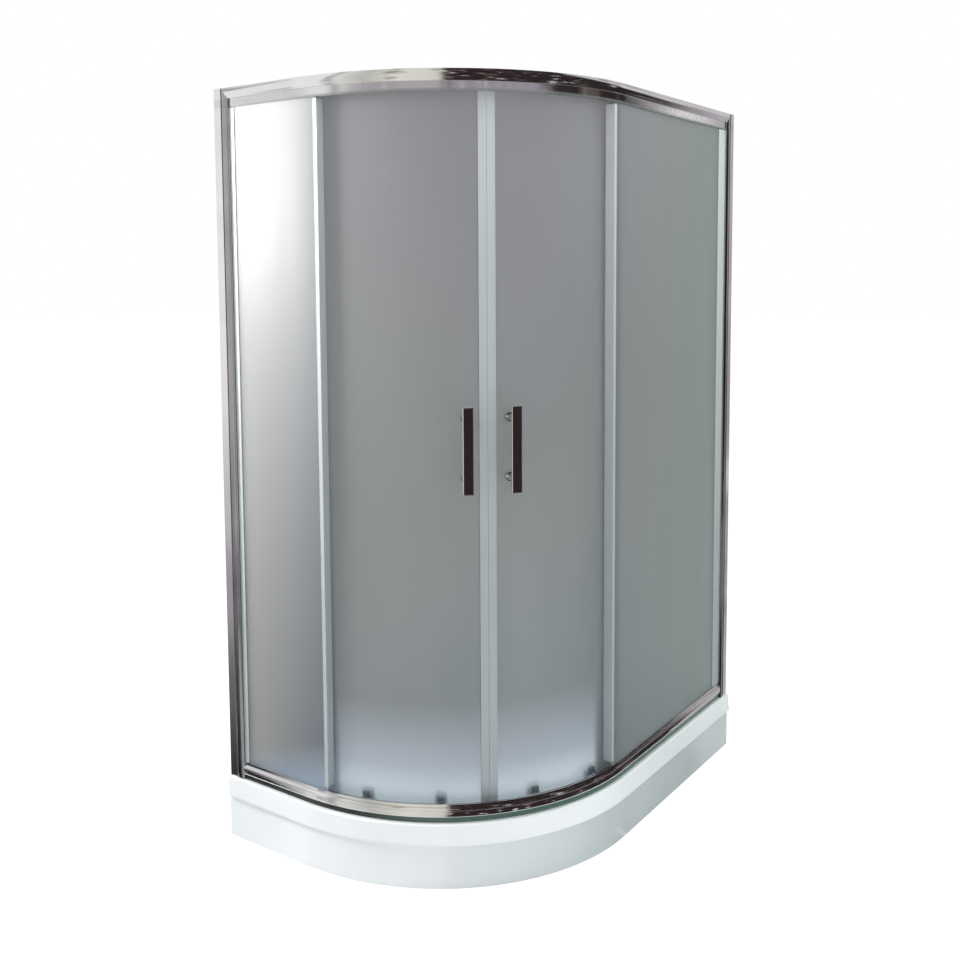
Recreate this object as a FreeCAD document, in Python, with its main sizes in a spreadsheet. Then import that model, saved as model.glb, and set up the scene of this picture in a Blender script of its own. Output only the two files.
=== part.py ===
"""Offset quadrant shower enclosure on a raised tray, in millimetres, +Z up.

The origin is on the floor at the middle of the tray's rectangle. The long wall is behind, at
+Y, the short wall is at +X, and the curved front faces -X and -Y. Depths called u are measured
inward from the enclosure's outer face, and angles along the arc from its left tangent point.
"""

import FreeCAD
import Part
import math
import os
import re
import Sketcher

from FreeCAD import Placement, Rotation, Vector

# Driving sizes: name, value in millimetres or degrees, what it is. The origin of every depth
# on the enclosure is its outer face.
SIZES = (
    ("tray_width", 1200, "along the long wall"),
    ("tray_depth", 800, "along the short wall"),
    ("corner_radius", 550, "tray's curved corner"),
    ("tray_height", 150, "floor to rim"),
    ("rim_band", 48, "height of the tray's outer skirt"),
    ("rim_width", 62, "flat rim, outer edge to basin"),
    ("basin_wall", 14, "thickness of the basin's side walls"),
    ("tray_wall", 12, "thickness of the tray's shell"),
    ("basin_drop", 32, "rim to basin floor"),
    ("basin_radius", 60, "basin's back corners"),
    ("basin_round", 14, "fillet round the basin floor"),
    ("rim_lean", 5, "how far the rim's skirt leans in towards its top"),
    ("lean_height", 43, "height of the leaning part"),
    ("rim_round", 5, "fillet of the rim's edges"),
    ("fall_drop", 5, "extra depth of the floor at the waste"),
    ("fall_radius", 170, "reach of that fall"),
    ("panel_inset", 7, "front panel behind the rim's face"),
    ("panel_sheet", 6, "front panel's thickness"),
    ("panel_gap", 0.5, "between front panel and rim"),
    ("clip_block", 7, "thickness of a panel clip behind the panel"),
    ("clip_reach", 22, "clip's height above the panel"),
    ("clip_drop", 38, "clip's height below the rim"),
    ("clip_span", 5, "degrees of arc that a clip covers"),
    ("clip_first", 12, "first clip's angle"),
    ("clip_step", 33, "between clips on the arc"),
    ("enclosure_height", 1650, "rim to top of the rails"),
    ("enclosure_inset", 10, "enclosure's outer face behind the tray's edge"),
    ("top_rail_height", 45, "top rail"),
    ("face_height", 25, "top rail's curved face"),
    ("bottom_rail_height", 41, "bottom rail"),
    ("band_height", 13, "bottom rail's recessed band"),
    ("lip_height", 7, "bottom rail's recessed lip"),
    ("rail_wall", 2, "thickness of rail and profile walls"),
    ("plate_margin", 3, "top rail's plate past the door glass"),
    ("foot_margin", 3, "bottom rail's foot past its track"),
    ("face_swell", 2.5, "how far the curved faces swell out"),
    ("skirt_step", 5.5, "depth of the recessed skirt"),
    ("glass_slot", 6.5, "width of the slot for the fixed glass"),
    ("rib_sheet", 1.8, "wall between slot and roller track"),
    ("track_gap", 5, "roller track's inner edge to the door glass"),
    ("track_sheet", 3, "thickness of the roller track"),
    ("track_lift", 8, "underside of the top rail to its track"),
    ("track_rise", 17, "rim to top of bottom track"),
    ("fixed_glass", 5, "thickness of the fixed glass"),
    ("fixed_top_gap", 10, "top of rail to fixed glass"),
    ("left_edge_angle", 6.5, "free edge of the left fixed glass"),
    ("right_edge_angle", 85.5, "free edge of the right fixed glass"),
    ("channel_reach", 22, "wall channel, out from the wall"),
    ("channel_sheet", 1.6, "wall channel's thickness"),
    ("channel_margin", 1, "channel's face behind the profile's"),
    ("profile_face", 24, "visible width of the side profile"),
    ("profile_back", 20, "side profile behind its glass slot"),
    ("profile_play", 0.4, "side profile inside the wall channel"),
    ("profile_tuck", 14, "side profile's length inside the channel"),
    ("slot_spare", 2, "side profile's glass slot beyond the glass"),
    ("glass_tuck", 10, "fixed glass inside the side profile"),
    ("gasket_lip", 3, "gasket's lip along the glass"),
    ("gasket_side", 2.4, "gasket's lip across the glass"),
    ("fixing_hole", 3, "radius of the wall fixing holes"),
    ("fixing_low", 150, "lowest wall fixing above the rim"),
    ("fixing_pitch", 450, "between wall fixings"),
    ("adjust_radius", 2, "adjusting screws"),
    ("adjust_length", 8, "shanks of the adjusting screws"),
    ("adjust_reach", 15, "adjusting screws, out from the wall"),
    ("adjust_below", 60, "adjusting screw below each wall fixing"),
    ("screw_head", 3.8, "radius of small screw heads"),
    ("head_rise", 2.2, "height of small screw heads"),
    ("head_bevel", 1, "bevel of small screw heads"),
    ("block_length", 28, "corner block along the rail"),
    ("block_tab", 20, "corner block's tab on the side profile"),
    ("block_sheet", 2.5, "thickness of that tab"),
    ("block_clear", 1, "corner block to the rail's track and plates"),
    ("meet_angle", 48.2, "where the doors meet"),
    ("door_angle", 44, "arc covered by one door"),
    ("door_glass", 5, "thickness of the door glass"),
    ("wheel_standoff", 8, "wheels to the door glass"),
    ("door_top_gap", 6, "top of rail to door glass"),
    ("door_bottom_gap", 8, "rim to door glass"),
    ("inner_roller", 12.6, "degrees from the meeting edge"),
    ("outer_roller", 32.2, "degrees from the meeting edge"),
    ("wheel_radius", 11, "roller wheels"),
    ("wheel_width", 7, "roller wheels"),
    ("wheel_bevel", 1, "bevel of the wheels' edges"),
    ("wheel_play", 5.2, "wheels to the wall beside their track"),
    ("wheel_clear", 0.2, "wheel above its track"),
    ("wheel_sink", 2.2, "recess for the bolt's head"),
    ("axle_radius", 3, "roller bolts"),
    ("bolt_head", 5, "radius of the roller bolts' heads"),
    ("head_play", 0.4, "bolt head in its recess, radial"),
    ("bolt_reach", 4, "bottom roller bolts, inward past the glass"),
    ("axle_play", 0.05, "wheel on its bolt, radial"),
    ("glass_hole", 6, "radius of holes in the door glass"),
    ("glass_bow", 0.15, "flat faces clear of the glass's hollow side"),
    ("body_bow", 0.3, "the wider bodies clear of that side"),
    ("hole_play", 0.2, "sleeve in a glass hole, radial"),
    ("mount_radius", 8, "top roller mount outside the glass"),
    ("mount_gap", 0.4, "wheel to roller mount"),
    ("guide_width", 14, "bottom roller mount outside the glass"),
    ("guide_peek", 5, "bottom roller mount above its rail"),
    ("guide_clear", 2, "roller mount above the bottom track"),
    ("body_width", 26, "bottom roller mount inside the glass"),
    ("body_depth", 11, "how far it stands off the glass"),
    ("body_bottom", 11, "rim to underside of that mount"),
    ("body_lid", 2, "bottom roller mount above the button's bore"),
    ("cap_radius", 11, "cap nuts inside the glass"),
    ("cap_rise", 6, "cap nuts, height"),
    ("cap_bevel", 4, "cap nuts, bevel across the face"),
    ("cap_crown", 1, "cap nuts, beyond the bolt's end"),
    ("button_radius", 6, "release button"),
    ("collar_lap", 1.5, "release button's collar around it"),
    ("button_rise", 12.8, "wheel's axle to release button"),
    ("button_proud", 5, "how far the button stands out"),
    ("button_play", 0.08, "button in its bore, radial"),
    ("collar_play", 0.5, "collar in the bore behind it, radial"),
    ("button_floor", 3, "wall that the button's collar rests on"),
    ("button_rest", 0.1, "collar to that wall"),
    ("button_bevel", 1, "bevel of the button's edge"),
    ("collar_sheet", 2, "collar's thickness"),
    ("seal_wall", 1.3, "edge seals either side of the glass"),
    ("seal_slack", 0.05, "edge seal to glass"),
    ("seal_lap", 8, "edge seal's hold on the glass"),
    ("magnet_nose", 11, "door glass to the meeting line"),
    ("magnet_gap", 0.3, "each magnet strip to the meeting line"),
    ("fin_gap", 5, "those fins to the door glass"),
    ("fin_sheet", 1.5, "thickness of those fins"),
    ("fin_clear", 4, "fins to the rails and roller mounts"),
    ("handle_angle", 5.7, "handle from the meeting edge"),
    ("handle_height", 837, "rim to the middle of the handles"),
    ("handle_length", 192, "handle bar"),
    ("handle_width", 24, "handle bar"),
    ("handle_sheet", 5, "handle bar's thickness"),
    ("handle_round", 2, "handle bar's edges"),
    ("handle_gap", 42, "bar to glass"),
    ("post_pitch", 134, "between handle posts"),
    ("post_radius", 7, "handle posts"),
    ("post_foot", 10, "radius of the posts' foot rings"),
    ("post_foot_sheet", 3, "thickness of the foot rings"),
    ("post_screw", 3.5, "radius of the handle screws"),
    ("post_play", 1, "those screws in the glass, radial"),
    ("handle_cap_rise", 4, "inner caps of the handle screws"),
    ("handle_cap_bevel", 3, "bevel of those caps"),
    ("stop_length", 12, "rubber stops along the track"),
    ("stop_clear", 4.5, "wheel to stop at the end of the travel"),
    ("stop_height", 18, "rubber stops above the top track"),
    ("door_travel", 225, "each door, along its track"),
    ("drain_x", 330, "waste, from the middle"),
    ("drain_y", 160, "waste, from the middle"),
    ("drain_bore", 42, "radius of the waste"),
    ("drain_play", 0.5, "waste flange's sleeve in the tray, radial"),
    ("flange_lap", 14, "width of the waste flange"),
    ("seat_play", 1, "waste flange in its seat, radial"),
    ("flange_sheet", 2.5, "waste flange's thickness"),
    ("flange_bevel", 3, "bevel of the waste flange's edge"),
    ("sleeve_wall", 2.5, "waste flange's sleeve"),
    ("sleeve_length", 14, "that sleeve inside the trap"),
    ("sleeve_play", 0.1, "that sleeve in the trap, radial"),
    ("seal_sheet", 3, "waste seal's thickness"),
    ("cup_wall", 5, "waste trap's side wall"),
    ("cup_base", 3, "waste trap's bottom"),
    ("cup_floor", 14, "trap's underside above the floor"),
    ("cup_bevel", 6, "bevel of the trap's lower edge"),
    ("outlet_radius", 20, "outlet pipe"),
    ("outlet_wall", 2.5, "outlet pipe's wall"),
    ("outlet_height", 52, "outlet pipe above the floor"),
    ("outlet_length", 105, "outlet pipe, from the trap's middle"),
    ("thread_step", 1.5, "outlet nut's thread, out from the pipe"),
    ("nut_size", 24, "half the width across the outlet nut's flats"),
    ("nut_gap", 1, "outlet nut to the trap"),
    ("nut_length", 16, "outlet nut"),
    ("dome_lap", 10, "waste cover past the flange's bore"),
    ("dome_crown", 6, "waste cover's swell"),
    ("dome_lift", 4, "waste cover above its flange"),
    ("dome_sheet", 2, "waste cover's thickness"),
    ("dome_wall", 3, "thickness of its guide"),
    ("dome_lug", 2.5, "how far its feet lie on the flange"),
    ("dome_bar", 4, "height left above its guide's slots"),
    ("dome_stem", 36, "waste cover's guide"),
    ("dome_play", 0.5, "waste cover's guide in the flange, radial"),
    ("dome_bevel", 0.3, "bevel under its feet"),
    ("beam_height", 20, "support rails"),
    ("beam_width", 30, "support rails"),
    ("beam_wall", 2, "support rails"),
    ("beam_back", 300, "back support rail, from the middle"),
    ("beam_middle", 20, "middle support rail, from the middle"),
    ("beam_front", -250, "front support rail, from the middle"),
    ("beam_inset", 30, "support rail ends behind the tray's edge"),
    ("stud_radius", 6, "legs"),
    ("stud_margin", 60, "legs from the ends of a support rail"),
    ("pad_radius", 24, "feet"),
    ("pad_height", 14, "feet"),
    ("pad_edge", 5, "height of the feet's rims"),
    ("pad_neck", 4, "feet around the legs' ends"),
    ("leg_nut_size", 10, "half the width across a leg nut's flats"),
    ("leg_nut_height", 9, "leg nuts"),
    ("overrun", 1, "cuts past the faces they start or end at"),
    ("through", 150, "half the length of cuts across a whole profile"),
)
CLIPS = 3
WALL_FIXINGS = 4
CLOSE = 0.01
NAMES = {name for name, value, note in SIZES}

# Places worked out from the sizes.
ARC_X = "(corner_radius - tray_width / 2)"
ARC_Y = "(corner_radius - tray_depth / 2)"
FACE_R = "(corner_radius - enclosure_inset)"
TOP = "(tray_height + enclosure_height)"
SLOT_IN = "(skirt_step + rail_wall)"
SLOT_OUT = "(skirt_step + rail_wall + glass_slot)"
RIB_IN = "(skirt_step + rail_wall + glass_slot + rib_sheet)"
SWELL_WALL = "(face_swell + rail_wall)"
FIXED_OUT = "(skirt_step + rail_wall + (glass_slot - fixed_glass) / 2)"
FIXED_IN = "(skirt_step + rail_wall + (glass_slot + fixed_glass) / 2)"
WHEEL_OUT = "(skirt_step + rail_wall + glass_slot + rib_sheet + wheel_play)"
WHEEL_IN = f"({WHEEL_OUT} + wheel_width)"
DOOR_OUT = f"({WHEEL_IN} + wheel_standoff)"
DOOR_IN = f"({DOOR_OUT} + door_glass)"
TRACK_END = f"({DOOR_OUT} - track_gap)"
RAIL_DEPTH = f"({DOOR_IN} + plate_margin)"
PROFILE_DEPTH = f"({SLOT_OUT} + profile_back)"
PROFILE_END = "(channel_reach + profile_face)"
TRACK_R = f"(corner_radius - enclosure_inset - {WHEEL_OUT} - wheel_width / 2)"
TRACK_DROP = "(top_rail_height - track_lift)"
TOP_AXLE = f"({TOP} - {TRACK_DROP} + wheel_radius + wheel_clear)"
BOTTOM_AXLE = "(tray_height + track_rise + wheel_radius + wheel_clear)"
DOOR_LOW = "(tray_height + door_bottom_gap)"
DOOR_HIGH = "(tray_height + enclosure_height - door_top_gap)"
FLOOR = "(tray_height - basin_drop)"
UNDER = "(tray_height - basin_drop - tray_wall)"
GUIDE_TOP = "(tray_height + bottom_rail_height + guide_peek)"
BUTTON_Z = f"({BOTTOM_AXLE} + button_rise)"
COLLAR_R = "(button_radius + collar_lap)"
BUTTON_BORE = f"({COLLAR_R} + collar_play)"
SLEEVE_R = "(drain_bore + sleeve_wall)"
DRAIN_HOLE = f"({SLEEVE_R} + drain_play)"
FLANGE_R = "(drain_bore + flange_lap)"
DOME_R = "(drain_bore + dome_lap)"
CUP_R = f"({SLEEVE_R} + sleeve_play + cup_wall)"
DRAIN_SEAT = "(tray_height - basin_drop - fall_drop - flange_sheet)"
TO_DEGREES = "180 / pi"
BEAM_RIGHT = "(tray_width / 2 - tray_wall - beam_inset)"

doc = FreeCAD.newDocument("shower_enclosure")
sheet = doc.addObject("Spreadsheet::Sheet", "sizes")
for row, (name, value, note) in enumerate(SIZES, 1):
    sheet.set(f"A{row}", name)
    sheet.set(f"B{row}", str(value))
    sheet.setAlias(f"B{row}", name)
    sheet.set(f"C{row}", note)
doc.recompute()

parts = []


def cells(text):
    """An expression on the sheet, from one written with bare names."""
    return re.sub(r"[a-z_]+", lambda word: f"sizes.{word[0]}" if word[0] in NAMES else word[0], str(text))


def number(text):
    found = sheet.evalExpression(cells(text))
    return float(getattr(found, "Value", found))


def bind(thing, **places):
    """Binds properties to expressions; a double underscore stands for a dot."""
    for path, text in places.items():
        thing.setExpression(path.replace("__", "."), cells(text))


# Sketches and features


def new_body(label):
    body = doc.addObject("PartDesign::Body", label)
    body.Label = label
    return body


def new_part(label):
    """A body that is a sub-part of its own, written to its own file."""
    body = new_body(label)
    parts.append(body)
    return body


def plane(body, role):
    return next(item for item in body.Origin.OriginFeatures if item.Role == role)


def new_sketch(body, role, lift="0", turn=None):
    """A sketch on an origin plane, lifted along its normal or turned about its upright axis."""
    sketch = body.newObject("Sketcher::SketchObject", f"{body.Name}_sketch")
    sketch.AttachmentSupport = [(plane(body, role), "")]
    sketch.MapMode = "FlatFace"
    if turn is not None:
        upright = Rotation(Vector(0, 1, 0), number(turn))
        sketch.AttachmentOffset = Placement(Vector(0, 0, 0), upright)
        bind(sketch, AttachmentOffset__Rotation__Angle=turn)
    bind(sketch, AttachmentOffset__Base__z=lift)
    return sketch


def draw(sketch, points, bends=None):
    """Closes an outline. bends gives a side's (radius, centre x, centre y) where it is an arc."""
    bends = bends or {}
    spots = [Vector(number(x), number(y), 0) for x, y in points]
    ends = []
    rules = []
    texts = []
    for side, start in enumerate(spots):
        finish = spots[(side + 1) % len(spots)]
        first, last = 1, 2
        if side in bends:
            radius, middle_x, middle_y = bends[side]
            middle = Vector(number(middle_x), number(middle_y), 0)
            begin = math.atan2(start.y - middle.y, start.x - middle.x)
            end = math.atan2(finish.y - middle.y, finish.x - middle.x)
            if (end - begin) % math.tau > math.pi:
                begin, end = end, begin
                first, last = 2, 1
            circle = Part.Circle(middle, Vector(0, 0, 1), number(radius))
            edge = Part.ArcOfCircle(circle, begin, begin + (end - begin) % math.tau)
        else:
            edge = Part.LineSegment(start, finish)
        index = sketch.addGeometry(edge, False)
        ends.append((index, first, last))
        if side in bends:
            rules.append(Sketcher.Constraint("Radius", index, number(radius)))
            texts.append(radius)
    for side, (index, first, last) in enumerate(ends):
        following = ends[(side + 1) % len(ends)]
        rules.append(Sketcher.Constraint("Coincident", index, last, following[0], following[1]))
        texts.append(None)
        for kind, text in zip(("DistanceX", "DistanceY"), points[side]):
            rules.append(Sketcher.Constraint(kind, -1, 1, index, first, number(text)))
            texts.append(text)
    state(sketch, rules, texts)


def ring(sketch, radius, x="0", y="0"):
    """A full circle."""
    middle = Vector(number(x), number(y), 0)
    index = sketch.addGeometry(Part.Circle(middle, Vector(0, 0, 1), number(radius)), False)
    rules = [
        Sketcher.Constraint("Radius", index, number(radius)),
        Sketcher.Constraint("DistanceX", -1, 1, index, 3, number(x)),
        Sketcher.Constraint("DistanceY", -1, 1, index, 3, number(y)),
    ]
    state(sketch, rules, [radius, x, y])


def state(sketch, rules, texts):
    """Adds constraints and binds those that have an expression."""
    for place, text in zip(sketch.addConstraint(rules), texts):
        if text is not None:
            sketch.setExpression(f"Constraints[{place}]", cells(text))


def box(sketch, x_low, y_low, x_high, y_high):
    draw(sketch, [(x_low, y_low), (x_high, y_low), (x_high, y_high), (x_low, y_high)])


def feature(body, kind, sketch, **places):
    made = body.newObject(f"PartDesign::{kind}", f"{body.Name}_{kind.lower()}")
    made.Profile = sketch
    bind(made, **places)
    return made


def pad(body, sketch, length, both=False):
    made = feature(body, "Pad", sketch, Length=length)
    if both:
        made.SideType = "Symmetric"
    return made


def pocket(body, sketch, length, forward=False, both=False):
    """Cuts against the sketch's normal, along it, or both ways; the volume must fall."""
    doc.recompute()
    before = body.Shape.Volume
    made = feature(body, "Pocket", sketch, Length=length)
    made.Reversed = forward
    if both:
        made.SideType = "Symmetric"
    doc.recompute()
    if not body.Shape.Volume < before - CLOSE:
        raise RuntimeError(f"a pocket of {body.Label} cuts nothing")
    return made


def level_edges(made, height):
    """Names of the edges of a feature that lie flat at a height."""
    found = []
    for count, edge in enumerate(made.Shape.Edges, 1):
        reach = edge.BoundBox
        if reach.ZLength < CLOSE and abs(reach.ZMin - number(height)) < CLOSE:
            found.append(f"Edge{count}")
    return found


def soften(body, made, edges, radius):
    """A fillet on some edges of a feature."""
    rounded = body.newObject("PartDesign::Fillet", f"{body.Name}_fillet")
    rounded.Base = (made, edges)
    bind(rounded, Radius=radius)
    return rounded


def turned(body, sketch, axis="V_Axis"):
    made = feature(body, "Revolution", sketch)
    made.ReferenceAxis = (sketch, [axis])
    return made


def place(thing, x="0", y="0", z="0", turn=None):
    """Puts a sub-part in the frame, turned about the vertical."""
    if turn is not None:
        thing.Placement = Placement(Vector(0, 0, 0), Rotation(Vector(0, 0, 1), number(turn)))
        bind(thing, Placement__Rotation__Angle=turn)
    bind(thing, Placement__Base__x=x, Placement__Base__y=y, Placement__Base__z=z)
    return thing


def on_arc(thing, angle, z="0"):
    """Turns a piece to an angle of the arc: its own X points outward from the arc's centre."""
    return place(thing, ARC_X, ARC_Y, z, f"180 + ({angle})")


def group(label, members):
    """Identical pieces in one node."""
    made = doc.addObject("Part::Compound", label)
    made.Label = label
    made.Links = members
    parts.append(made)
    return made


# Outlines in plan


def arc_point(depth, angle):
    """A point on the arc, a depth in from the tray's edge."""
    radius = f"(corner_radius - ({depth}))"
    return (f"{ARC_X} - {radius} * cos({angle})", f"{ARC_Y} - {radius} * sin({angle})")


def left_point(depth, from_wall):
    return (f"{depth} - tray_width / 2", f"tray_depth / 2 - ({from_wall})")


def right_point(depth, from_wall):
    return (f"tray_width / 2 - ({from_wall})", f"{depth} - tray_depth / 2")


def around(depth):
    return (f"corner_radius - ({depth})", ARC_X, ARC_Y)


def plan(sketch, depth, wall_gap):
    """The tray's outline, a depth in from its open sides and a gap from the walls."""
    points = [
        left_point(depth, wall_gap),
        arc_point(depth, "0"),
        arc_point(depth, "90"),
        right_point(depth, wall_gap),
        (f"tray_width / 2 - ({wall_gap})", f"tray_depth / 2 - ({wall_gap})"),
    ]
    draw(sketch, points, {1: around(depth)})


def front_strip(sketch, near, far, left_gap, right_gap):
    """A strip along the open sides between two depths, ending a gap from each wall."""
    points = [
        left_point(near, left_gap),
        arc_point(near, "0"),
        arc_point(near, "90"),
        right_point(near, right_gap),
        right_point(far, right_gap),
        arc_point(far, "90"),
        arc_point(far, "0"),
        left_point(far, left_gap),
    ]
    draw(sketch, points, {1: around(near), 5: around(far)})


def polar(radius, angle):
    """A point in a piece's own frame, whose X axis points outward from the arc's centre."""
    return (f"({radius}) * cos({angle})", f"({radius}) * sin({angle})")


def arc_strip(sketch, outer, inner, start, end):
    """A strip between two radii and two angles of a piece's own frame."""
    points = [polar(outer, start), polar(outer, end), polar(inner, end), polar(inner, start)]
    draw(sketch, points, {0: (outer, "0", "0"), 2: (inner, "0", "0")})


def lathe(body, points, bends=None, axis="H_Axis"):
    """Turns a half section; it lies in X and Z, and X is along a roller's axle."""
    sketch = new_sketch(body, "XZ_Plane")
    draw(sketch, points, bends)
    return turned(body, sketch, axis)


# Tray and what is under it


def shower_tray():
    body = new_part("shower_tray")
    outline = new_sketch(body, "XY_Plane", "tray_height - rim_band")
    plan(outline, "0", "0")
    lean(body, pad(body, outline, "rim_band"))
    hollow = new_sketch(body, "XY_Plane", "tray_height - rim_band")
    plan(hollow, "tray_wall", "tray_wall")
    pocket(body, hollow, "rim_band - tray_wall", forward=True)
    block = new_sketch(body, "XY_Plane", UNDER)
    plan(block, "rim_width - basin_wall", "rim_width - basin_wall")
    pad(body, block, "basin_drop + tray_wall")
    basin = new_sketch(body, "XY_Plane", "tray_height")
    plan(basin, "rim_width", "rim_width")
    sunk = pocket(body, basin, "basin_drop")
    corners = soften(body, sunk, back_edges(sunk), "basin_radius")
    doc.recompute()
    soften(body, corners, level_edges(corners, FLOOR), "basin_round")
    fall = new_sketch(body, "XZ_Plane", "-drain_y")
    lip = f"drain_x + {FLANGE_R} + seat_play"
    points = [
        ("drain_x", f"{FLOOR} + overrun"),
        ("drain_x + fall_radius", f"{FLOOR} + overrun"),
        ("drain_x + fall_radius", FLOOR),
        (lip, f"{FLOOR} - fall_drop"),
        (lip, DRAIN_SEAT),
        (f"drain_x + {DRAIN_HOLE}", DRAIN_SEAT),
        (f"drain_x + {DRAIN_HOLE}", f"{UNDER} - overrun"),
        ("drain_x", f"{UNDER} - overrun"),
    ]
    draw(fall, points)
    foot = Vector(number("drain_x"), 0, 0)
    head = Vector(number("drain_x"), number("tray_height"), 0)
    axis = fall.addGeometry(Part.LineSegment(foot, head), True)
    rules = []
    texts = []
    for end, height in ((1, "0"), (2, "tray_height")):
        for kind, text in (("DistanceX", "drain_x"), ("DistanceY", height)):
            rules.append(Sketcher.Constraint(kind, -1, 1, axis, end, number(text)))
            texts.append(text)
    state(fall, rules, texts)
    doc.recompute()
    before = body.Shape.Volume
    groove = feature(body, "Groove", fall)
    groove.ReferenceAxis = (fall, ["Axis0"])
    doc.recompute()
    if not body.Shape.Volume < before - CLOSE:
        raise RuntimeError("the fall to the waste cuts nothing")
    soften(body, groove, level_edges(groove, "tray_height"), "rim_round")


def lean(body, skirt):
    """Leans the skirt's open sides in towards their top."""
    doc.recompute()
    edges = []
    for name in level_edges(skirt, "tray_height"):
        reach = skirt.Shape.getElement(name).BoundBox
        at_side = reach.XMin > number("tray_width / 2") - CLOSE
        at_back = reach.YMin > number("tray_depth / 2") - CLOSE
        if not at_side and not at_back:
            edges.append(name)
    leaning = body.newObject("PartDesign::Chamfer", f"{body.Name}_lean")
    leaning.Base = (skirt, edges)
    leaning.ChamferType = "Two distances"
    bind(leaning, Size="lean_height", Size2="rim_lean")
    doc.recompute()
    level = [leaning.Shape.getElement(name).BoundBox for name in level_edges(leaning, "tray_height")]
    inset = min(reach.XMin for reach in level) + number("tray_width / 2")
    if abs(inset - number("rim_lean")) > CLOSE:
        raise RuntimeError(f"the skirt leans in by {inset}")


def back_edges(made):
    """The basin's upright edges along its back and right sides."""
    right = number("tray_width / 2 - rim_width")
    back = number("tray_depth / 2 - rim_width")
    found = []
    for count, edge in enumerate(made.Shape.Edges, 1):
        reach = edge.BoundBox
        upright = reach.XLength < CLOSE and reach.YLength < CLOSE
        if upright and (abs(reach.XMin - right) < CLOSE or abs(reach.YMin - back) < CLOSE):
            found.append(f"Edge{count}")
    return found


def front_panel():
    body = new_part("front_panel")
    sketch = new_sketch(body, "XY_Plane")
    front_strip(sketch, "panel_inset", "panel_inset + panel_sheet", "0", "0")
    pad(body, sketch, "tray_height - rim_band - panel_gap")


def panel_clips():
    clips = []
    for count in range(CLIPS):
        angle = f"clip_first + {count} * clip_step"
        body = new_body(f"panel_clip_{count + 1}")
        low = new_sketch(body, "XY_Plane", "tray_height - rim_band - clip_drop")
        back = "corner_radius - panel_inset - panel_sheet"
        arc_strip(low, back, f"{back} - clip_block", "-clip_span / 2", "clip_span / 2")
        pad(body, low, "clip_drop")
        high = new_sketch(body, "XY_Plane", "tray_height - rim_band")
        inside = "corner_radius - tray_wall"
        arc_strip(high, inside, f"{back} - clip_block", "-clip_span / 2", "clip_span / 2")
        pad(body, high, "clip_reach")
        clips.append(on_arc(body, angle))
    group("panel_clips", clips)


def beams():
    """Each support rail's depth and the x of its left end, behind the tray's curved edge."""
    reach = "(corner_radius - tray_wall - beam_inset)"
    low_side = "({y} - beam_width / 2 - " + ARC_Y + ")"
    found = []
    for line in ("beam_back", "beam_middle", "beam_front"):
        side = low_side.format(y=line)
        if number(side) < 0:
            left = f"({ARC_X} - sqrt({reach}^2 - {side}^2))"
        else:
            left = "(tray_wall + beam_inset - tray_width / 2)"
        found.append((line, left))
    return found


def legs():
    """The x and y of every leg: near both ends and in the middle of each support rail."""
    found = []
    for line, left in beams():
        first = f"({left} + stud_margin)"
        last = f"({BEAM_RIGHT} - stud_margin)"
        for x in (first, f"(({first} + {last}) / 2)", last):
            found.append((x, line))
    return found


def support_rails():
    rails = []
    for count, (line, left) in enumerate(beams(), 1):
        body = new_body(f"support_rail_{count}")
        section = new_sketch(body, "YZ_Plane", left)
        box(section, "-beam_width / 2", "0", "beam_width / 2", "beam_height")
        hollow = "beam_width / 2 - beam_wall"
        box(section, f"-({hollow})", "beam_wall", hollow, "beam_height - beam_wall")
        pad(body, section, f"{BEAM_RIGHT} - {left}")
        holes = new_sketch(body, "XY_Plane")
        for x, y in legs():
            if y == line:
                ring(holes, "stud_radius + hole_play", x)
        pocket(body, holes, "beam_wall + overrun", forward=True)
        rails.append(place(body, y=line, z=f"{UNDER} - beam_height"))
    group("support_rails", rails)


def upright(label, radius, low, high):
    """A round upright piece on its own Z axis."""
    body = new_body(label)
    sketch = new_sketch(body, "XY_Plane", low)
    ring(sketch, radius)
    pad(body, sketch, f"({high}) - ({low})")
    return body


def leg_set():
    studs = []
    nuts = []
    pads = []
    stud_foot = "pad_height / 2"
    for count, (x, y) in enumerate(legs(), 1):
        stud = upright(f"leg_stud_{count}", "stud_radius", stud_foot, f"{UNDER} - beam_wall")
        studs.append(place(stud, x, y))
        for which, low in (("high", f"{UNDER} - beam_height - leg_nut_height"), ("low", "pad_height")):
            nut = new_body(f"leg_nut_{which}_{count}")
            sketch = new_sketch(nut, "XY_Plane", low)
            draw(sketch, hexagon("leg_nut_size"))
            ring(sketch, "stud_radius")
            pad(nut, sketch, "leg_nut_height")
            nuts.append(place(nut, x, y))
        foot = new_body(f"foot_pad_{count}")
        outline = [
            ("0", "0"),
            ("pad_radius", "0"),
            ("pad_radius", "pad_edge"),
            ("stud_radius + pad_neck", "pad_height"),
            ("stud_radius", "pad_height"),
            ("stud_radius", stud_foot),
            ("0", stud_foot),
        ]
        lathe(foot, outline, axis="V_Axis")
        pads.append(place(foot, x, y))
    group("leg_studs", studs)
    group("leg_nuts", nuts)
    group("foot_pads", pads)


def hexagon(half_width):
    """Corners of a hexagon from half its width across the flats."""
    corners = []
    for count in range(6):
        angle = 60 * count + 30
        reach = f"(({half_width}) / cos(30))"
        corners.append((f"{reach} * cos({angle})", f"{reach} * sin({angle})"))
    return corners


# Waste


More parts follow.
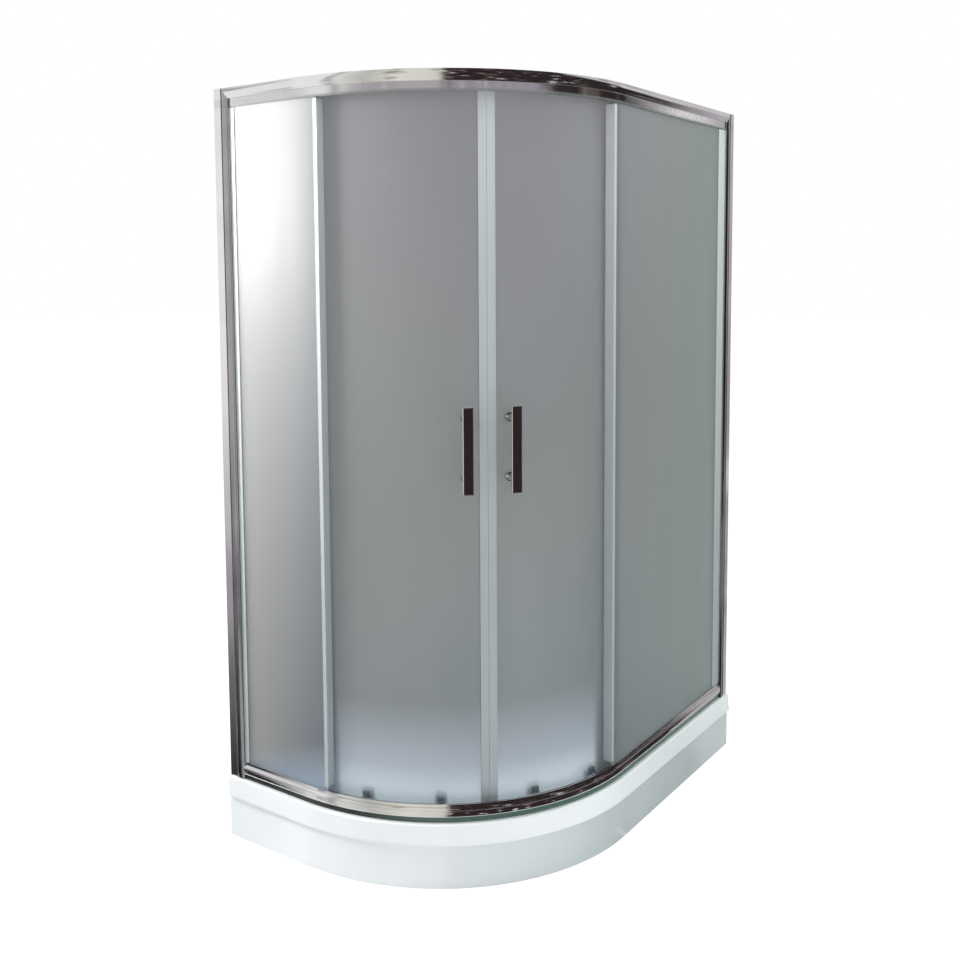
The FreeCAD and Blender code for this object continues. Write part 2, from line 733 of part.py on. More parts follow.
def drain():
    flange = new_part("drain_flange")
    cup_top = f"({UNDER} - seal_sheet)"
    flange_top = f"({DRAIN_SEAT} + flange_sheet)"
    outline = [
        ("drain_bore", f"{cup_top} - sleeve_length"),
        (SLEEVE_R, f"{cup_top} - sleeve_length"),
        (SLEEVE_R, DRAIN_SEAT),
        (FLANGE_R, DRAIN_SEAT),
        (FLANGE_R, f"{DRAIN_SEAT} + flange_sheet / 2"),
        (f"{FLANGE_R} - flange_bevel", flange_top),
        ("drain_bore", flange_top),
    ]
    lathe(flange, outline, axis="V_Axis")
    place(flange, "drain_x", "drain_y")

    seal = new_part("drain_seal")
    sketch = new_sketch(seal, "XY_Plane", cup_top)
    ring(sketch, CUP_R)
    ring(sketch, f"{SLEEVE_R} + sleeve_play")
    pad(seal, sketch, "seal_sheet")
    place(seal, "drain_x", "drain_y")

    cup = new_part("drain_body")
    pipe = new_sketch(cup, "YZ_Plane", "0")
    ring(pipe, "outlet_radius", "0", "outlet_height")
    pad(cup, pipe, "outlet_length")
    thread = new_sketch(cup, "YZ_Plane")
    ring(thread, "outlet_radius + thread_step", "0", "outlet_height")
    pad(cup, thread, f"{CUP_R} + nut_gap + nut_length")
    shell = new_sketch(cup, "XZ_Plane")
    draw(shell, [
        ("0", "cup_floor"),
        (f"{CUP_R} - cup_bevel", "cup_floor"),
        (CUP_R, "cup_floor + cup_bevel"),
        (CUP_R, cup_top),
        ("0", cup_top),
    ])
    turned(cup, shell)
    hollow = new_sketch(cup, "XY_Plane", cup_top)
    ring(hollow, f"{SLEEVE_R} + sleeve_play")
    pocket(cup, hollow, f"{cup_top} - cup_floor - cup_base")
    bore = new_sketch(cup, "YZ_Plane", "outlet_length")
    ring(bore, "outlet_radius - outlet_wall", "0", "outlet_height")
    pocket(cup, bore, "outlet_length")
    place(cup, "drain_x", "drain_y")

    nut = new_part("drain_nut")
    sketch = new_sketch(nut, "YZ_Plane", f"{CUP_R} + nut_gap")
    corners = [(x, f"outlet_height + {y}") for x, y in hexagon("nut_size")]
    draw(sketch, corners)
    ring(sketch, "outlet_radius + thread_step + hole_play", "0", "outlet_height")
    pad(nut, sketch, "nut_length")
    place(nut, "drain_x", "drain_y")

    dome = new_part("drain_dome")
    rest = f"({flange_top} + dome_lift)"
    guide = "(drain_bore - dome_play)"
    crown = f"({rest} + dome_sheet + dome_crown)"
    crown_radius = f"({DOME_R}^2 + dome_crown^2) / (2 * dome_crown)"
    outline = [
        (f"{guide} - dome_wall", f"{flange_top} - dome_stem"),
        (guide, f"{flange_top} - dome_stem"),
        (guide, flange_top),
        (f"{guide} + dome_lug", f"{flange_top} + dome_bevel"),
        (f"{guide} + dome_lug", rest),
        (DOME_R, rest),
        (DOME_R, f"{rest} + dome_sheet"),
        ("0", crown),
        ("0", f"{rest} + dome_sheet / 2"),
        (f"{guide} - dome_wall", f"{rest} + dome_sheet / 2"),
    ]
    lathe(dome, outline, {6: (crown_radius, "0", f"{crown} - {crown_radius}")}, "V_Axis")
    slots = new_sketch(dome, "XZ_Plane")
    slot_low = f"{flange_top} - dome_stem - overrun"
    box(slots, "-drain_bore / 2", slot_low, "drain_bore / 2", f"{flange_top} - dome_bar")
    pocket(dome, slots, "2 * through", both=True)
    place(dome, "drain_x", "drain_y")


# Frame


def end_section(sketch, side, profile, bends=None):
    """A section against a wall, from (depth, distance from the wall) pairs."""
    if side == "left":
        spot = left_point
    else:
        spot = right_point
    points = [spot(f"enclosure_inset + ({depth})", distance) for depth, distance in profile]
    placed = {}
    for edge, (radius, depth, distance) in (bends or {}).items():
        placed[edge] = (radius, *spot(f"enclosure_inset + ({depth})", distance))
    draw(sketch, points, placed)


def swell(low, high):
    """The arc of a curved face between two places: its radius and its centre's depth and place."""
    half = f"((({high}) - ({low})) / 2)"
    radius = f"(({half}^2 + face_swell^2) / (2 * face_swell))"
    return radius, half


def wall_sketch(body, side, lift="0"):
    """A sketch seen along the wall: across is the distance from the wall's face, up is z."""
    return new_sketch(body, "YZ_Plane" if side == "left" else "XZ_Plane", lift)


def from_wall(side, distance):
    return f"tray_depth / 2 - ({distance})" if side == "left" else f"tray_width / 2 - ({distance})"


def depth_lift(side, depth):
    """How far a sketch seen along the wall is lifted to lie at a depth."""
    if side == "left":
        return f"enclosure_inset + ({depth}) - tray_width / 2"
    return f"tray_depth / 2 - enclosure_inset - ({depth})"


def fixing_heights():
    return [f"tray_height + fixing_low + {count} * fixing_pitch" for count in range(WALL_FIXINGS)]


def wall_channel(side):
    body = new_part(f"wall_channel_{side}")
    sketch = new_sketch(body, "XY_Plane", "tray_height")
    out = "channel_margin"
    inn = f"{PROFILE_DEPTH} - channel_margin"
    end_section(sketch, side, [
        (out, "0"),
        (inn, "0"),
        (inn, "channel_reach"),
        (f"{inn} - channel_sheet", "channel_reach"),
        (f"{inn} - channel_sheet", "channel_sheet"),
        (f"{out} + channel_sheet", "channel_sheet"),
        (f"{out} + channel_sheet", "channel_reach"),
        (out, "channel_reach"),
    ])
    pad(body, sketch, "enclosure_height")
    middle = f"enclosure_inset + {PROFILE_DEPTH} / 2"
    if side == "left":
        holes = new_sketch(body, "XZ_Plane", "-tray_depth / 2")
        across = f"{middle} - tray_width / 2"
    else:
        holes = new_sketch(body, "YZ_Plane", "tray_width / 2")
        across = f"{middle} - tray_depth / 2"
    for height in fixing_heights():
        ring(holes, "fixing_hole", across, height)
    pocket(body, holes, "channel_sheet + overrun", forward=(side == "left"))
    screws = wall_sketch(body, side, depth_lift(side, PROFILE_DEPTH))
    across = from_wall(side, "adjust_reach")
    for height in fixing_heights():
        ring(screws, "adjust_radius + hole_play", across, f"{height} - adjust_below")
    pocket(body, screws, "channel_margin + channel_sheet + overrun", forward=(side == "right"))


def side_profile(side):
    body = new_part(f"side_profile_{side}")
    sketch = new_sketch(body, "XY_Plane", "tray_height")
    near = "channel_margin + channel_sheet + profile_play"
    far = f"{PROFILE_DEPTH} - channel_margin - channel_sheet - profile_play"
    end = PROFILE_END
    radius, half = swell("channel_reach", end)
    end_section(sketch, side, [
        (near, "channel_reach"),
        ("face_swell", "channel_reach"),
        ("face_swell", end),
        (SLOT_IN, end),
        (SLOT_IN, f"{end} - glass_tuck - slot_spare"),
        (SLOT_OUT, f"{end} - glass_tuck - slot_spare"),
        (SLOT_OUT, end),
        (PROFILE_DEPTH, end),
        (PROFILE_DEPTH, "channel_reach"),
        (far, "channel_reach"),
        (far, "channel_reach - profile_tuck"),
        (near, "channel_reach - profile_tuck"),
    ], {1: (radius, f"{radius}", f"channel_reach + {half}")})
    end_section(sketch, side, [
        (f"{near} + rail_wall", f"channel_reach - profile_tuck + rail_wall"),
        (f"{far} - rail_wall", f"channel_reach - profile_tuck + rail_wall"),
        (f"{far} - rail_wall", f"{end} - glass_tuck - slot_spare - rail_wall"),
        (f"{near} + rail_wall", f"{end} - glass_tuck - slot_spare - rail_wall"),
    ])
    pad(body, sketch, "enclosure_height")
    mitre = wall_sketch(body, side, depth_lift(side, f"{PROFILE_DEPTH} / 2"))
    draw(mitre, [
        (from_wall(side, "channel_reach"), TOP),
        (from_wall(side, end), f"{TOP} - face_height"),
        (from_wall(side, f"{end} + overrun"), f"{TOP} - face_height"),
        (from_wall(side, f"{end} + overrun"), f"{TOP} + overrun"),
        (from_wall(side, "channel_reach"), f"{TOP} + overrun"),
    ])
    pocket(body, mitre, "2 * through", both=True)
    screws = wall_sketch(body, side, depth_lift(side, f"{far} + overrun"))
    for height in fixing_heights():
        ring(screws, "adjust_radius", from_wall(side, "adjust_reach"), f"{height} - adjust_below")
    pocket(body, screws, "rail_wall + 2 * overrun", forward=(side == "right"))


def inward_screw(label, side, depth, wall_distance, height, shank):
    """A small screw with its head on the inner side of the frame."""
    body = new_body(label)
    outline = [
        ("0", "0"),
        ("screw_head", "0"),
        ("screw_head", "head_rise / 2"),
        ("screw_head - head_bevel", "head_rise"),
        ("0", "head_rise"),
    ]
    head = new_sketch(body, "XZ_Plane")
    draw(head, outline)
    turned(body, head)
    stem = new_sketch(body, "XY_Plane")
    ring(stem, "adjust_radius")
    made = feature(body, "Pad", stem, Length=shank)
    made.Reversed = True
    if side == "left":
        body.Placement = Placement(Vector(0, 0, 0), Rotation(Vector(0, 1, 0), 90))
        x = f"enclosure_inset + ({depth}) - tray_width / 2"
        return place(body, x, from_wall(side, wall_distance), height)
    body.Placement = Placement(Vector(0, 0, 0), Rotation(Vector(1, 0, 0), -90))
    y = f"enclosure_inset + ({depth}) - tray_depth / 2"
    return place(body, from_wall(side, wall_distance), y, height)


def frame_screws():
    adjusting = []
    for side in ("left", "right"):
        for count, height in enumerate(fixing_heights(), 1):
            adjusting.append(inward_screw(
                f"adjusting_screw_{side}_{count}", side, f"{PROFILE_DEPTH} - channel_margin",
                "adjust_reach", f"{height} - adjust_below", "adjust_length"))
    group("adjusting_screws", adjusting)
    blocks = []
    screws = []
    for side in ("left", "right"):
        for level, low, high in (
            ("top", f"{TOP} - {TRACK_DROP} + block_clear", f"{TOP} - rail_wall - block_clear"),
            ("bottom", "tray_height + track_rise + block_clear",
             "tray_height + bottom_rail_height - rail_wall"),
        ):
            body = new_body(f"corner_block_{side}_{level}")
            main = wall_sketch(body, side, depth_lift(side, RIB_IN))
            box(main, *ordered(side, PROFILE_END, f"{PROFILE_END} + block_length", low, high))
            made = feature(body, "Pad", main, Length=f"{PROFILE_DEPTH} + block_sheet - {RIB_IN}")
            made.Reversed = side == "right"
            tab = wall_sketch(body, side, depth_lift(side, PROFILE_DEPTH))
            box(tab, *ordered(side, f"{PROFILE_END} - block_tab", PROFILE_END, low, high))
            made = feature(body, "Pad", tab, Length="block_sheet")
            made.Reversed = side == "right"
            height = f"(({low}) + ({high})) / 2"
            blocks.append(body)
            holes = wall_sketch(body, side, depth_lift(side, f"{PROFILE_DEPTH} + block_sheet"))
            for distance in (f"{PROFILE_END} - block_tab / 2", f"{PROFILE_END} + block_length / 2"):
                ring(holes, "adjust_radius", from_wall(side, distance), height)
            pocket(body, holes, PROFILE_DEPTH, forward=(side == "right"))
            screws.append(inward_screw(
                f"rail_screw_{side}_{level}_1", side, f"{PROFILE_DEPTH} + block_sheet",
                f"{PROFILE_END} - block_tab / 2", height, "block_sheet"))
            screws.append(inward_screw(
                f"rail_screw_{side}_{level}_2", side, f"{PROFILE_DEPTH} + block_sheet",
                f"{PROFILE_END} + block_length / 2", height, f"{PROFILE_DEPTH} + block_sheet - {RIB_IN}"))
    group("corner_blocks", blocks)
    group("rail_screws", screws)


def ordered(side, near, far, low, high):
    """The corners of a box between two distances from a wall."""
    return (from_wall(side, far), low, from_wall(side, near), high)


def rail(label, profile, bends):
    """Sweeps a section of (depth, height) pairs along the open sides, profile to profile."""
    body = new_part(label)
    section = new_sketch(body, "XZ_Plane", "channel_reach - tray_depth / 2")
    points = [(f"enclosure_inset + ({u}) - tray_width / 2", z) for u, z in profile]
    placed = {}
    for side, (radius, u, z) in bends.items():
        placed[side] = (radius, f"enclosure_inset + ({u}) - tray_width / 2", z)
    draw(section, points, placed)
    path = new_sketch(body, "XY_Plane", "tray_height")
    left_tangent = arc_point("enclosure_inset", "0")
    right_tangent = arc_point("enclosure_inset", "90")
    edges = [
        (left_point("enclosure_inset", "channel_reach"), left_tangent),
        (left_tangent, right_tangent),
        (right_tangent, right_point("enclosure_inset", "channel_reach")),
    ]
    spots = [[Vector(number(x), number(y), 0) for x, y in pair] for pair in edges]
    first = path.addGeometry(Part.LineSegment(*spots[0]), False)
    middle = Vector(number(ARC_X), number(ARC_Y), 0)
    circle = Part.Circle(middle, Vector(0, 0, 1), number(FACE_R))
    bend = path.addGeometry(Part.ArcOfCircle(circle, math.pi, 1.5 * math.pi), False)
    last = path.addGeometry(Part.LineSegment(*spots[2]), False)
    rules = [
        Sketcher.Constraint("Coincident", first, 2, bend, 1),
        Sketcher.Constraint("Coincident", bend, 2, last, 1),
        Sketcher.Constraint("Radius", bend, number(FACE_R)),
    ]
    texts = [None, None, FACE_R]
    for index, pair in ((first, edges[0]), (last, edges[2])):
        for end, spot in enumerate(pair, 1):
            for kind, text in zip(("DistanceX", "DistanceY"), spot):
                rules.append(Sketcher.Constraint(kind, -1, 1, index, end, number(text)))
                texts.append(text)
    state(path, rules, texts)
    sweep = body.newObject("PartDesign::AdditivePipe", f"{label}_sweep")
    sweep.Profile = section
    sweep.Spine = (path, ["Edge1", "Edge2", "Edge3"])
    sweep.Transition = "Transformed"
    return body


def top_rail():
    radius, half = swell("0", "face_height")
    inner = f"({radius} - rail_wall)"
    shelf = f"{TOP} - face_height + rail_wall"
    profile = [
        ("face_swell", TOP),
        (RAIL_DEPTH, TOP),
        (RAIL_DEPTH, f"{TOP} - rail_wall"),
        (RIB_IN, f"{TOP} - rail_wall"),
        (RIB_IN, f"{TOP} - {TRACK_DROP}"),
        (TRACK_END, f"{TOP} - {TRACK_DROP}"),
        (TRACK_END, f"{TOP} - {TRACK_DROP} - track_sheet"),
        (RIB_IN, f"{TOP} - {TRACK_DROP} - track_sheet"),
        (RIB_IN, f"{TOP} - top_rail_height"),
        (SLOT_OUT, f"{TOP} - top_rail_height"),
        (SLOT_OUT, f"{TOP} - rail_wall"),
        (SWELL_WALL, f"{TOP} - rail_wall"),
        (SWELL_WALL, shelf),
        (SLOT_IN, shelf),
        (SLOT_IN, f"{TOP} - top_rail_height"),
        ("skirt_step", f"{TOP} - top_rail_height"),
        ("skirt_step", f"{TOP} - face_height"),
        ("face_swell", f"{TOP} - face_height"),
    ]
    body = rail("top_rail", profile, {17: (radius, radius, f"{TOP} - face_height / 2")})
    for side in ("left", "right"):
        mitre = wall_sketch(body, side, depth_lift(side, f"{RAIL_DEPTH} / 2"))
        draw(mitre, [
            (from_wall(side, "channel_reach"), TOP),
            (from_wall(side, PROFILE_END), f"{TOP} - face_height"),
            (from_wall(side, PROFILE_END), f"{TOP} - top_rail_height - overrun"),
            (from_wall(side, "channel_reach - overrun"), f"{TOP} - top_rail_height - overrun"),
            (from_wall(side, "channel_reach - overrun"), f"{TOP} + overrun"),
            (from_wall(side, "channel_reach"), f"{TOP} + overrun"),
        ])
        pocket(body, mitre, "2 * through", both=True)


def bottom_rail():
    low = "tray_height + band_height"
    high = "tray_height + bottom_rail_height - lip_height"
    radius, half = swell(low, high)
    profile = [
        ("skirt_step", "tray_height"),
        (f"{TRACK_END} + foot_margin", "tray_height"),
        (f"{TRACK_END} + foot_margin", "tray_height + rail_wall"),
        (RIB_IN, "tray_height + rail_wall"),
        (RIB_IN, "tray_height + track_rise - track_sheet"),
        (TRACK_END, "tray_height + track_rise - track_sheet"),
        (TRACK_END, "tray_height + track_rise"),
        (RIB_IN, "tray_height + track_rise"),
        (RIB_IN, "tray_height + bottom_rail_height - rail_wall"),
        (SLOT_OUT, "tray_height + bottom_rail_height - rail_wall"),
        (SLOT_OUT, "tray_height + rail_wall"),
        (SLOT_IN, "tray_height + rail_wall"),
        (SLOT_IN, f"{low} + rail_wall"),
        (SWELL_WALL, f"{low} + rail_wall"),
        (SWELL_WALL, f"{high} - rail_wall"),
        (SLOT_IN, f"{high} - rail_wall"),
        (SLOT_IN, "tray_height + bottom_rail_height"),
        ("skirt_step", "tray_height + bottom_rail_height"),
        ("skirt_step", high),
        ("face_swell", high),
        ("face_swell", low),
        ("skirt_step", low),
    ]
    body = rail("bottom_rail", profile, {19: (radius, radius, f"({low} + {high}) / 2")})
    for side in ("left", "right"):
        square = wall_sketch(body, side, depth_lift(side, f"{RAIL_DEPTH} / 2"))
        box(square, *ordered(side, "channel_reach - overrun", PROFILE_END, "tray_height - overrun",
                             "tray_height + bottom_rail_height + overrun"))
        pocket(body, square, "2 * through", both=True)


def fixed_panel(side):
    """The fixed glass with the seal on its free edge."""
    near = f"enclosure_inset + {FIXED_OUT}"
    far = f"enclosure_inset + {FIXED_IN}"
    gap = f"{PROFILE_END} - glass_tuck"
    low = "tray_height + rail_wall"
    high = f"{TOP} - fixed_top_gap"
    glass = new_part(f"fixed_glass_{side}")
    sketch = new_sketch(glass, "XY_Plane", low)
    if side == "left":
        points = [
            left_point(near, gap),
            arc_point(near, "0"),
            arc_point(near, "left_edge_angle"),
            arc_point(far, "left_edge_angle"),
            arc_point(far, "0"),
            left_point(far, gap),
        ]
    else:
        points = [
            right_point(near, gap),
            arc_point(near, "90"),
            arc_point(near, "right_edge_angle"),
            arc_point(far, "right_edge_angle"),
            arc_point(far, "90"),
            right_point(far, gap),
        ]
    draw(sketch, points, {1: around(near), 3: around(far)})
    pad(glass, sketch, f"{high} - ({low})")

    seal = new_part(f"edge_seal_{side}")
    # Its own frame has X outward at the glass's free edge and +Y towards the doors' side.
    sign = "" if side == "left" else "-"
    outer = f"({FACE_R} - {FIXED_OUT})"
    inner = f"({FACE_R} - {FIXED_IN})"
    lap = f"({sign}(0 - seal_lap / {outer} * {TO_DEGREES}))"
    nose = f"({sign}(seal_wall / {outer} * {TO_DEGREES}))"
    lift = f"{GUIDE_TOP} + fin_clear"
    upper = f"{TOP} - top_rail_height - fin_clear"
    clip = new_sketch(seal, "XY_Plane", lift)
    clip_outline(clip, outer, inner, lap, nose, f"({sign}(seal_slack / {outer} * {TO_DEGREES}))")
    pad(seal, clip, f"{upper} - ({lift})")
    fin = new_sketch(seal, "XY_Plane", lift)
    root = f"{inner} - seal_slack - seal_wall / 2"
    arc_strip(fin, root, f"{FACE_R} - {DOOR_OUT} + fin_gap", nose,
              f"({sign}((seal_wall - fin_sheet) / {outer} * {TO_DEGREES}))")
    pad(seal, fin, f"{upper} - ({lift})")
    on_arc(seal, f"{side}_edge_angle")


def clip_outline(sketch, outer, inner, lap, nose, slack):
    """A channel-shaped strip that holds a glass edge: lap and nose are angles from that edge."""
    skin_out = f"({outer} + seal_slack + seal_wall)"
    skin_in = f"({inner} - seal_slack - seal_wall)"
    wall_out = f"({outer} + seal_slack)"
    wall_in = f"({inner} - seal_slack)"
    points = [
        polar(skin_out, lap),
        polar(skin_out, nose),
        polar(skin_in, nose),
        polar(skin_in, lap),
        polar(wall_in, lap),
        polar(wall_in, slack),
        polar(wall_out, slack),
        polar(wall_out, lap),
    ]
    draw(sketch, points, {
        0: (skin_out, "0", "0"),
        2: (skin_in, "0", "0"),
        4: (wall_in, "0", "0"),
        6: (wall_out, "0", "0"),
    })


def glazing_gaskets():
    gaskets = []
    for side in ("left", "right"):
        body = new_body(f"glazing_gasket_{side}")
        sketch = new_sketch(body, "XY_Plane", "tray_height + bottom_rail_height")
        end = PROFILE_END
        for glass, slot, sign in ((FIXED_OUT, SLOT_IN, "-"), (FIXED_IN, SLOT_OUT, "+")):
            end_section(sketch, side, [
                (glass, f"{end} - glass_tuck"),
                (slot, f"{end} - glass_tuck"),
                (slot, end),
                (f"{glass} {sign} gasket_side", end),
                (glass, f"{end} + gasket_lip"),
            ])
        pad(body, sketch, "enclosure_height - bottom_rail_height - top_rail_height")
        gaskets.append(body)
    group("glazing_gaskets", gaskets)


def door_stops():
    """Rubber blocks on the top track, just past each outer wheel at the end of its travel."""
    left_run = f"(door_travel - (meet_angle - outer_roller) / ({TO_DEGREES}) * {TRACK_R})"
    right_run = f"(door_travel - (90 - meet_angle - outer_roller) / ({TO_DEGREES}) * {TRACK_R})"
    stops = []
    for side, run in (("left", left_run), ("right", right_run)):
        body = new_body(f"door_stop_{side}")
        sketch = new_sketch(body, "XY_Plane", f"{TOP} - {TRACK_DROP}")
        start = f"({run} + wheel_radius + stop_clear)"
        near = f"enclosure_inset + {RIB_IN}"
        far = f"enclosure_inset + {TRACK_END}"
        if side == "left":
            box(sketch, f"{near} - tray_width / 2", f"{ARC_Y} + {start}",
                f"{far} - tray_width / 2", f"{ARC_Y} + {start} + stop_length")
        else:
            box(sketch, f"{ARC_X} + {start}", f"{near} - tray_depth / 2",
                f"{ARC_X} + {start} + stop_length", f"{far} - tray_depth / 2")
        pad(body, sketch, "stop_height")
        stops.append(body)
    group("door_stops", stops)


# Doors


def door(side):
    """One sliding door. Every piece has its own frame on the arc's centre."""
    sign = "-" if side == "left" else ""
    outer = f"({FACE_R} - {DOOR_OUT})"
    inner = f"({FACE_R} - {DOOR_IN})"
    nose_angle = f"(magnet_nose / {outer} * {TO_DEGREES})"

    def off(angle):
        return f"({sign}({angle}))"

    def at(angle):
        return f"meet_angle + {off(angle)}"

    glass = new_part(f"{side}_door_glass")
    strip = new_sketch(glass, "XY_Plane", DOOR_LOW)
    arc_strip(strip, outer, inner, off(nose_angle), off("door_angle"))
    pad(glass, strip, f"{DOOR_HIGH} - {DOOR_LOW}")
    post_heights = [f"tray_height + handle_height {side_of} post_pitch / 2" for side_of in "+-"]
    for angle, radius, heights in (
        ("inner_roller", "glass_hole", (TOP_AXLE, BOTTOM_AXLE)),
        ("outer_roller", "glass_hole", (TOP_AXLE, BOTTOM_AXLE)),
        ("handle_angle", "post_screw + post_play", post_heights),
    ):
        holes = new_sketch(glass, "YZ_Plane", turn=off(angle))
        for height in heights:
            ring(holes, radius, "0", height)
        pocket(glass, holes, FACE_R, forward=True)
    on_arc(glass, "meet_angle")

    seal_low = "tray_height + bottom_rail_height + fin_clear"
    seal_high = f"{TOP} - top_rail_height - fin_clear"
    magnet = new_part(f"{side}_magnet_seal")
    clip = new_sketch(magnet, "XY_Plane", DOOR_LOW)
    lap = f"({nose_angle} + seal_lap / {outer} * {TO_DEGREES})"
    tip = f"(magnet_gap / {outer} * {TO_DEGREES})"
    slack = f"({nose_angle} - seal_slack / {outer} * {TO_DEGREES})"
    clip_outline(clip, outer, inner, off(lap), off(tip), off(slack))
    pad(magnet, clip, f"{DOOR_HIGH} - {DOOR_LOW}")
    on_arc(magnet, "meet_angle")

    rear = new_part(f"{side}_rear_seal")
    clip = new_sketch(rear, "XY_Plane", seal_low)
    lap = f"(door_angle - seal_lap / {outer} * {TO_DEGREES})"
    tip = f"(door_angle + seal_wall / {outer} * {TO_DEGREES})"
    slack = f"(door_angle + seal_slack / {outer} * {TO_DEGREES})"
    clip_outline(clip, outer, inner, off(lap), off(tip), off(slack))
    pad(rear, clip, f"{seal_high} - ({seal_low})")
    on_arc(rear, "meet_angle")

    handle(side, at("handle_angle"), outer, inner, post_heights)
    rollers(side, at, outer, inner)


def handle(side, angle, outer, inner, post_heights):
    bar = new_part(f"{side}_handle_bar")
    face = new_sketch(bar, "YZ_Plane", f"{outer} + handle_gap")
    box(face, "-handle_width / 2", "-handle_length / 2", "handle_width / 2", "handle_length / 2")
    padded = pad(bar, face, "handle_sheet")
    doc.recompute()
    front = number(outer) + number("handle_gap") + number("handle_sheet")
    edges = []
    for count, edge in enumerate(padded.Shape.Edges, 1):
        if edge.BoundBox.XMin > front - CLOSE:
            edges.append(f"Edge{count}")
    soften(bar, padded, edges, "handle_round")
    on_arc(bar, angle, "tray_height + handle_height")

    posts = []
    caps = []
    for count, height in enumerate(post_heights, 1):
        post = new_body(f"{side}_handle_post_{count}")
        foot_end = f"({outer} + post_foot_sheet)"
        bar_face = f"({outer} + handle_gap)"
        outline = [
            (outer, "0"),
            (outer, "post_foot"),
            (foot_end, "post_foot"),
            (foot_end, "post_radius"),
            (bar_face, "post_radius"),
            (bar_face, "0"),
        ]
        lathe(post, outline)
        posts.append(on_arc(post, angle, height))
        cap = new_body(f"{side}_handle_screw_{count}")
        outline = [
            (outer, "0"),
            (outer, "post_screw"),
            (f"{inner} - glass_bow", "post_screw"),
            (f"{inner} - glass_bow", "post_foot"),
            (f"{inner} - handle_cap_rise / 2", "post_foot"),
            (f"{inner} - handle_cap_rise", "post_foot - handle_cap_bevel"),
            (f"{inner} - handle_cap_rise", "0"),
        ]
        lathe(cap, outline)
        caps.append(on_arc(cap, angle, height))
    group(f"{side}_handle_posts", posts)
    group(f"{side}_handle_screws", caps)


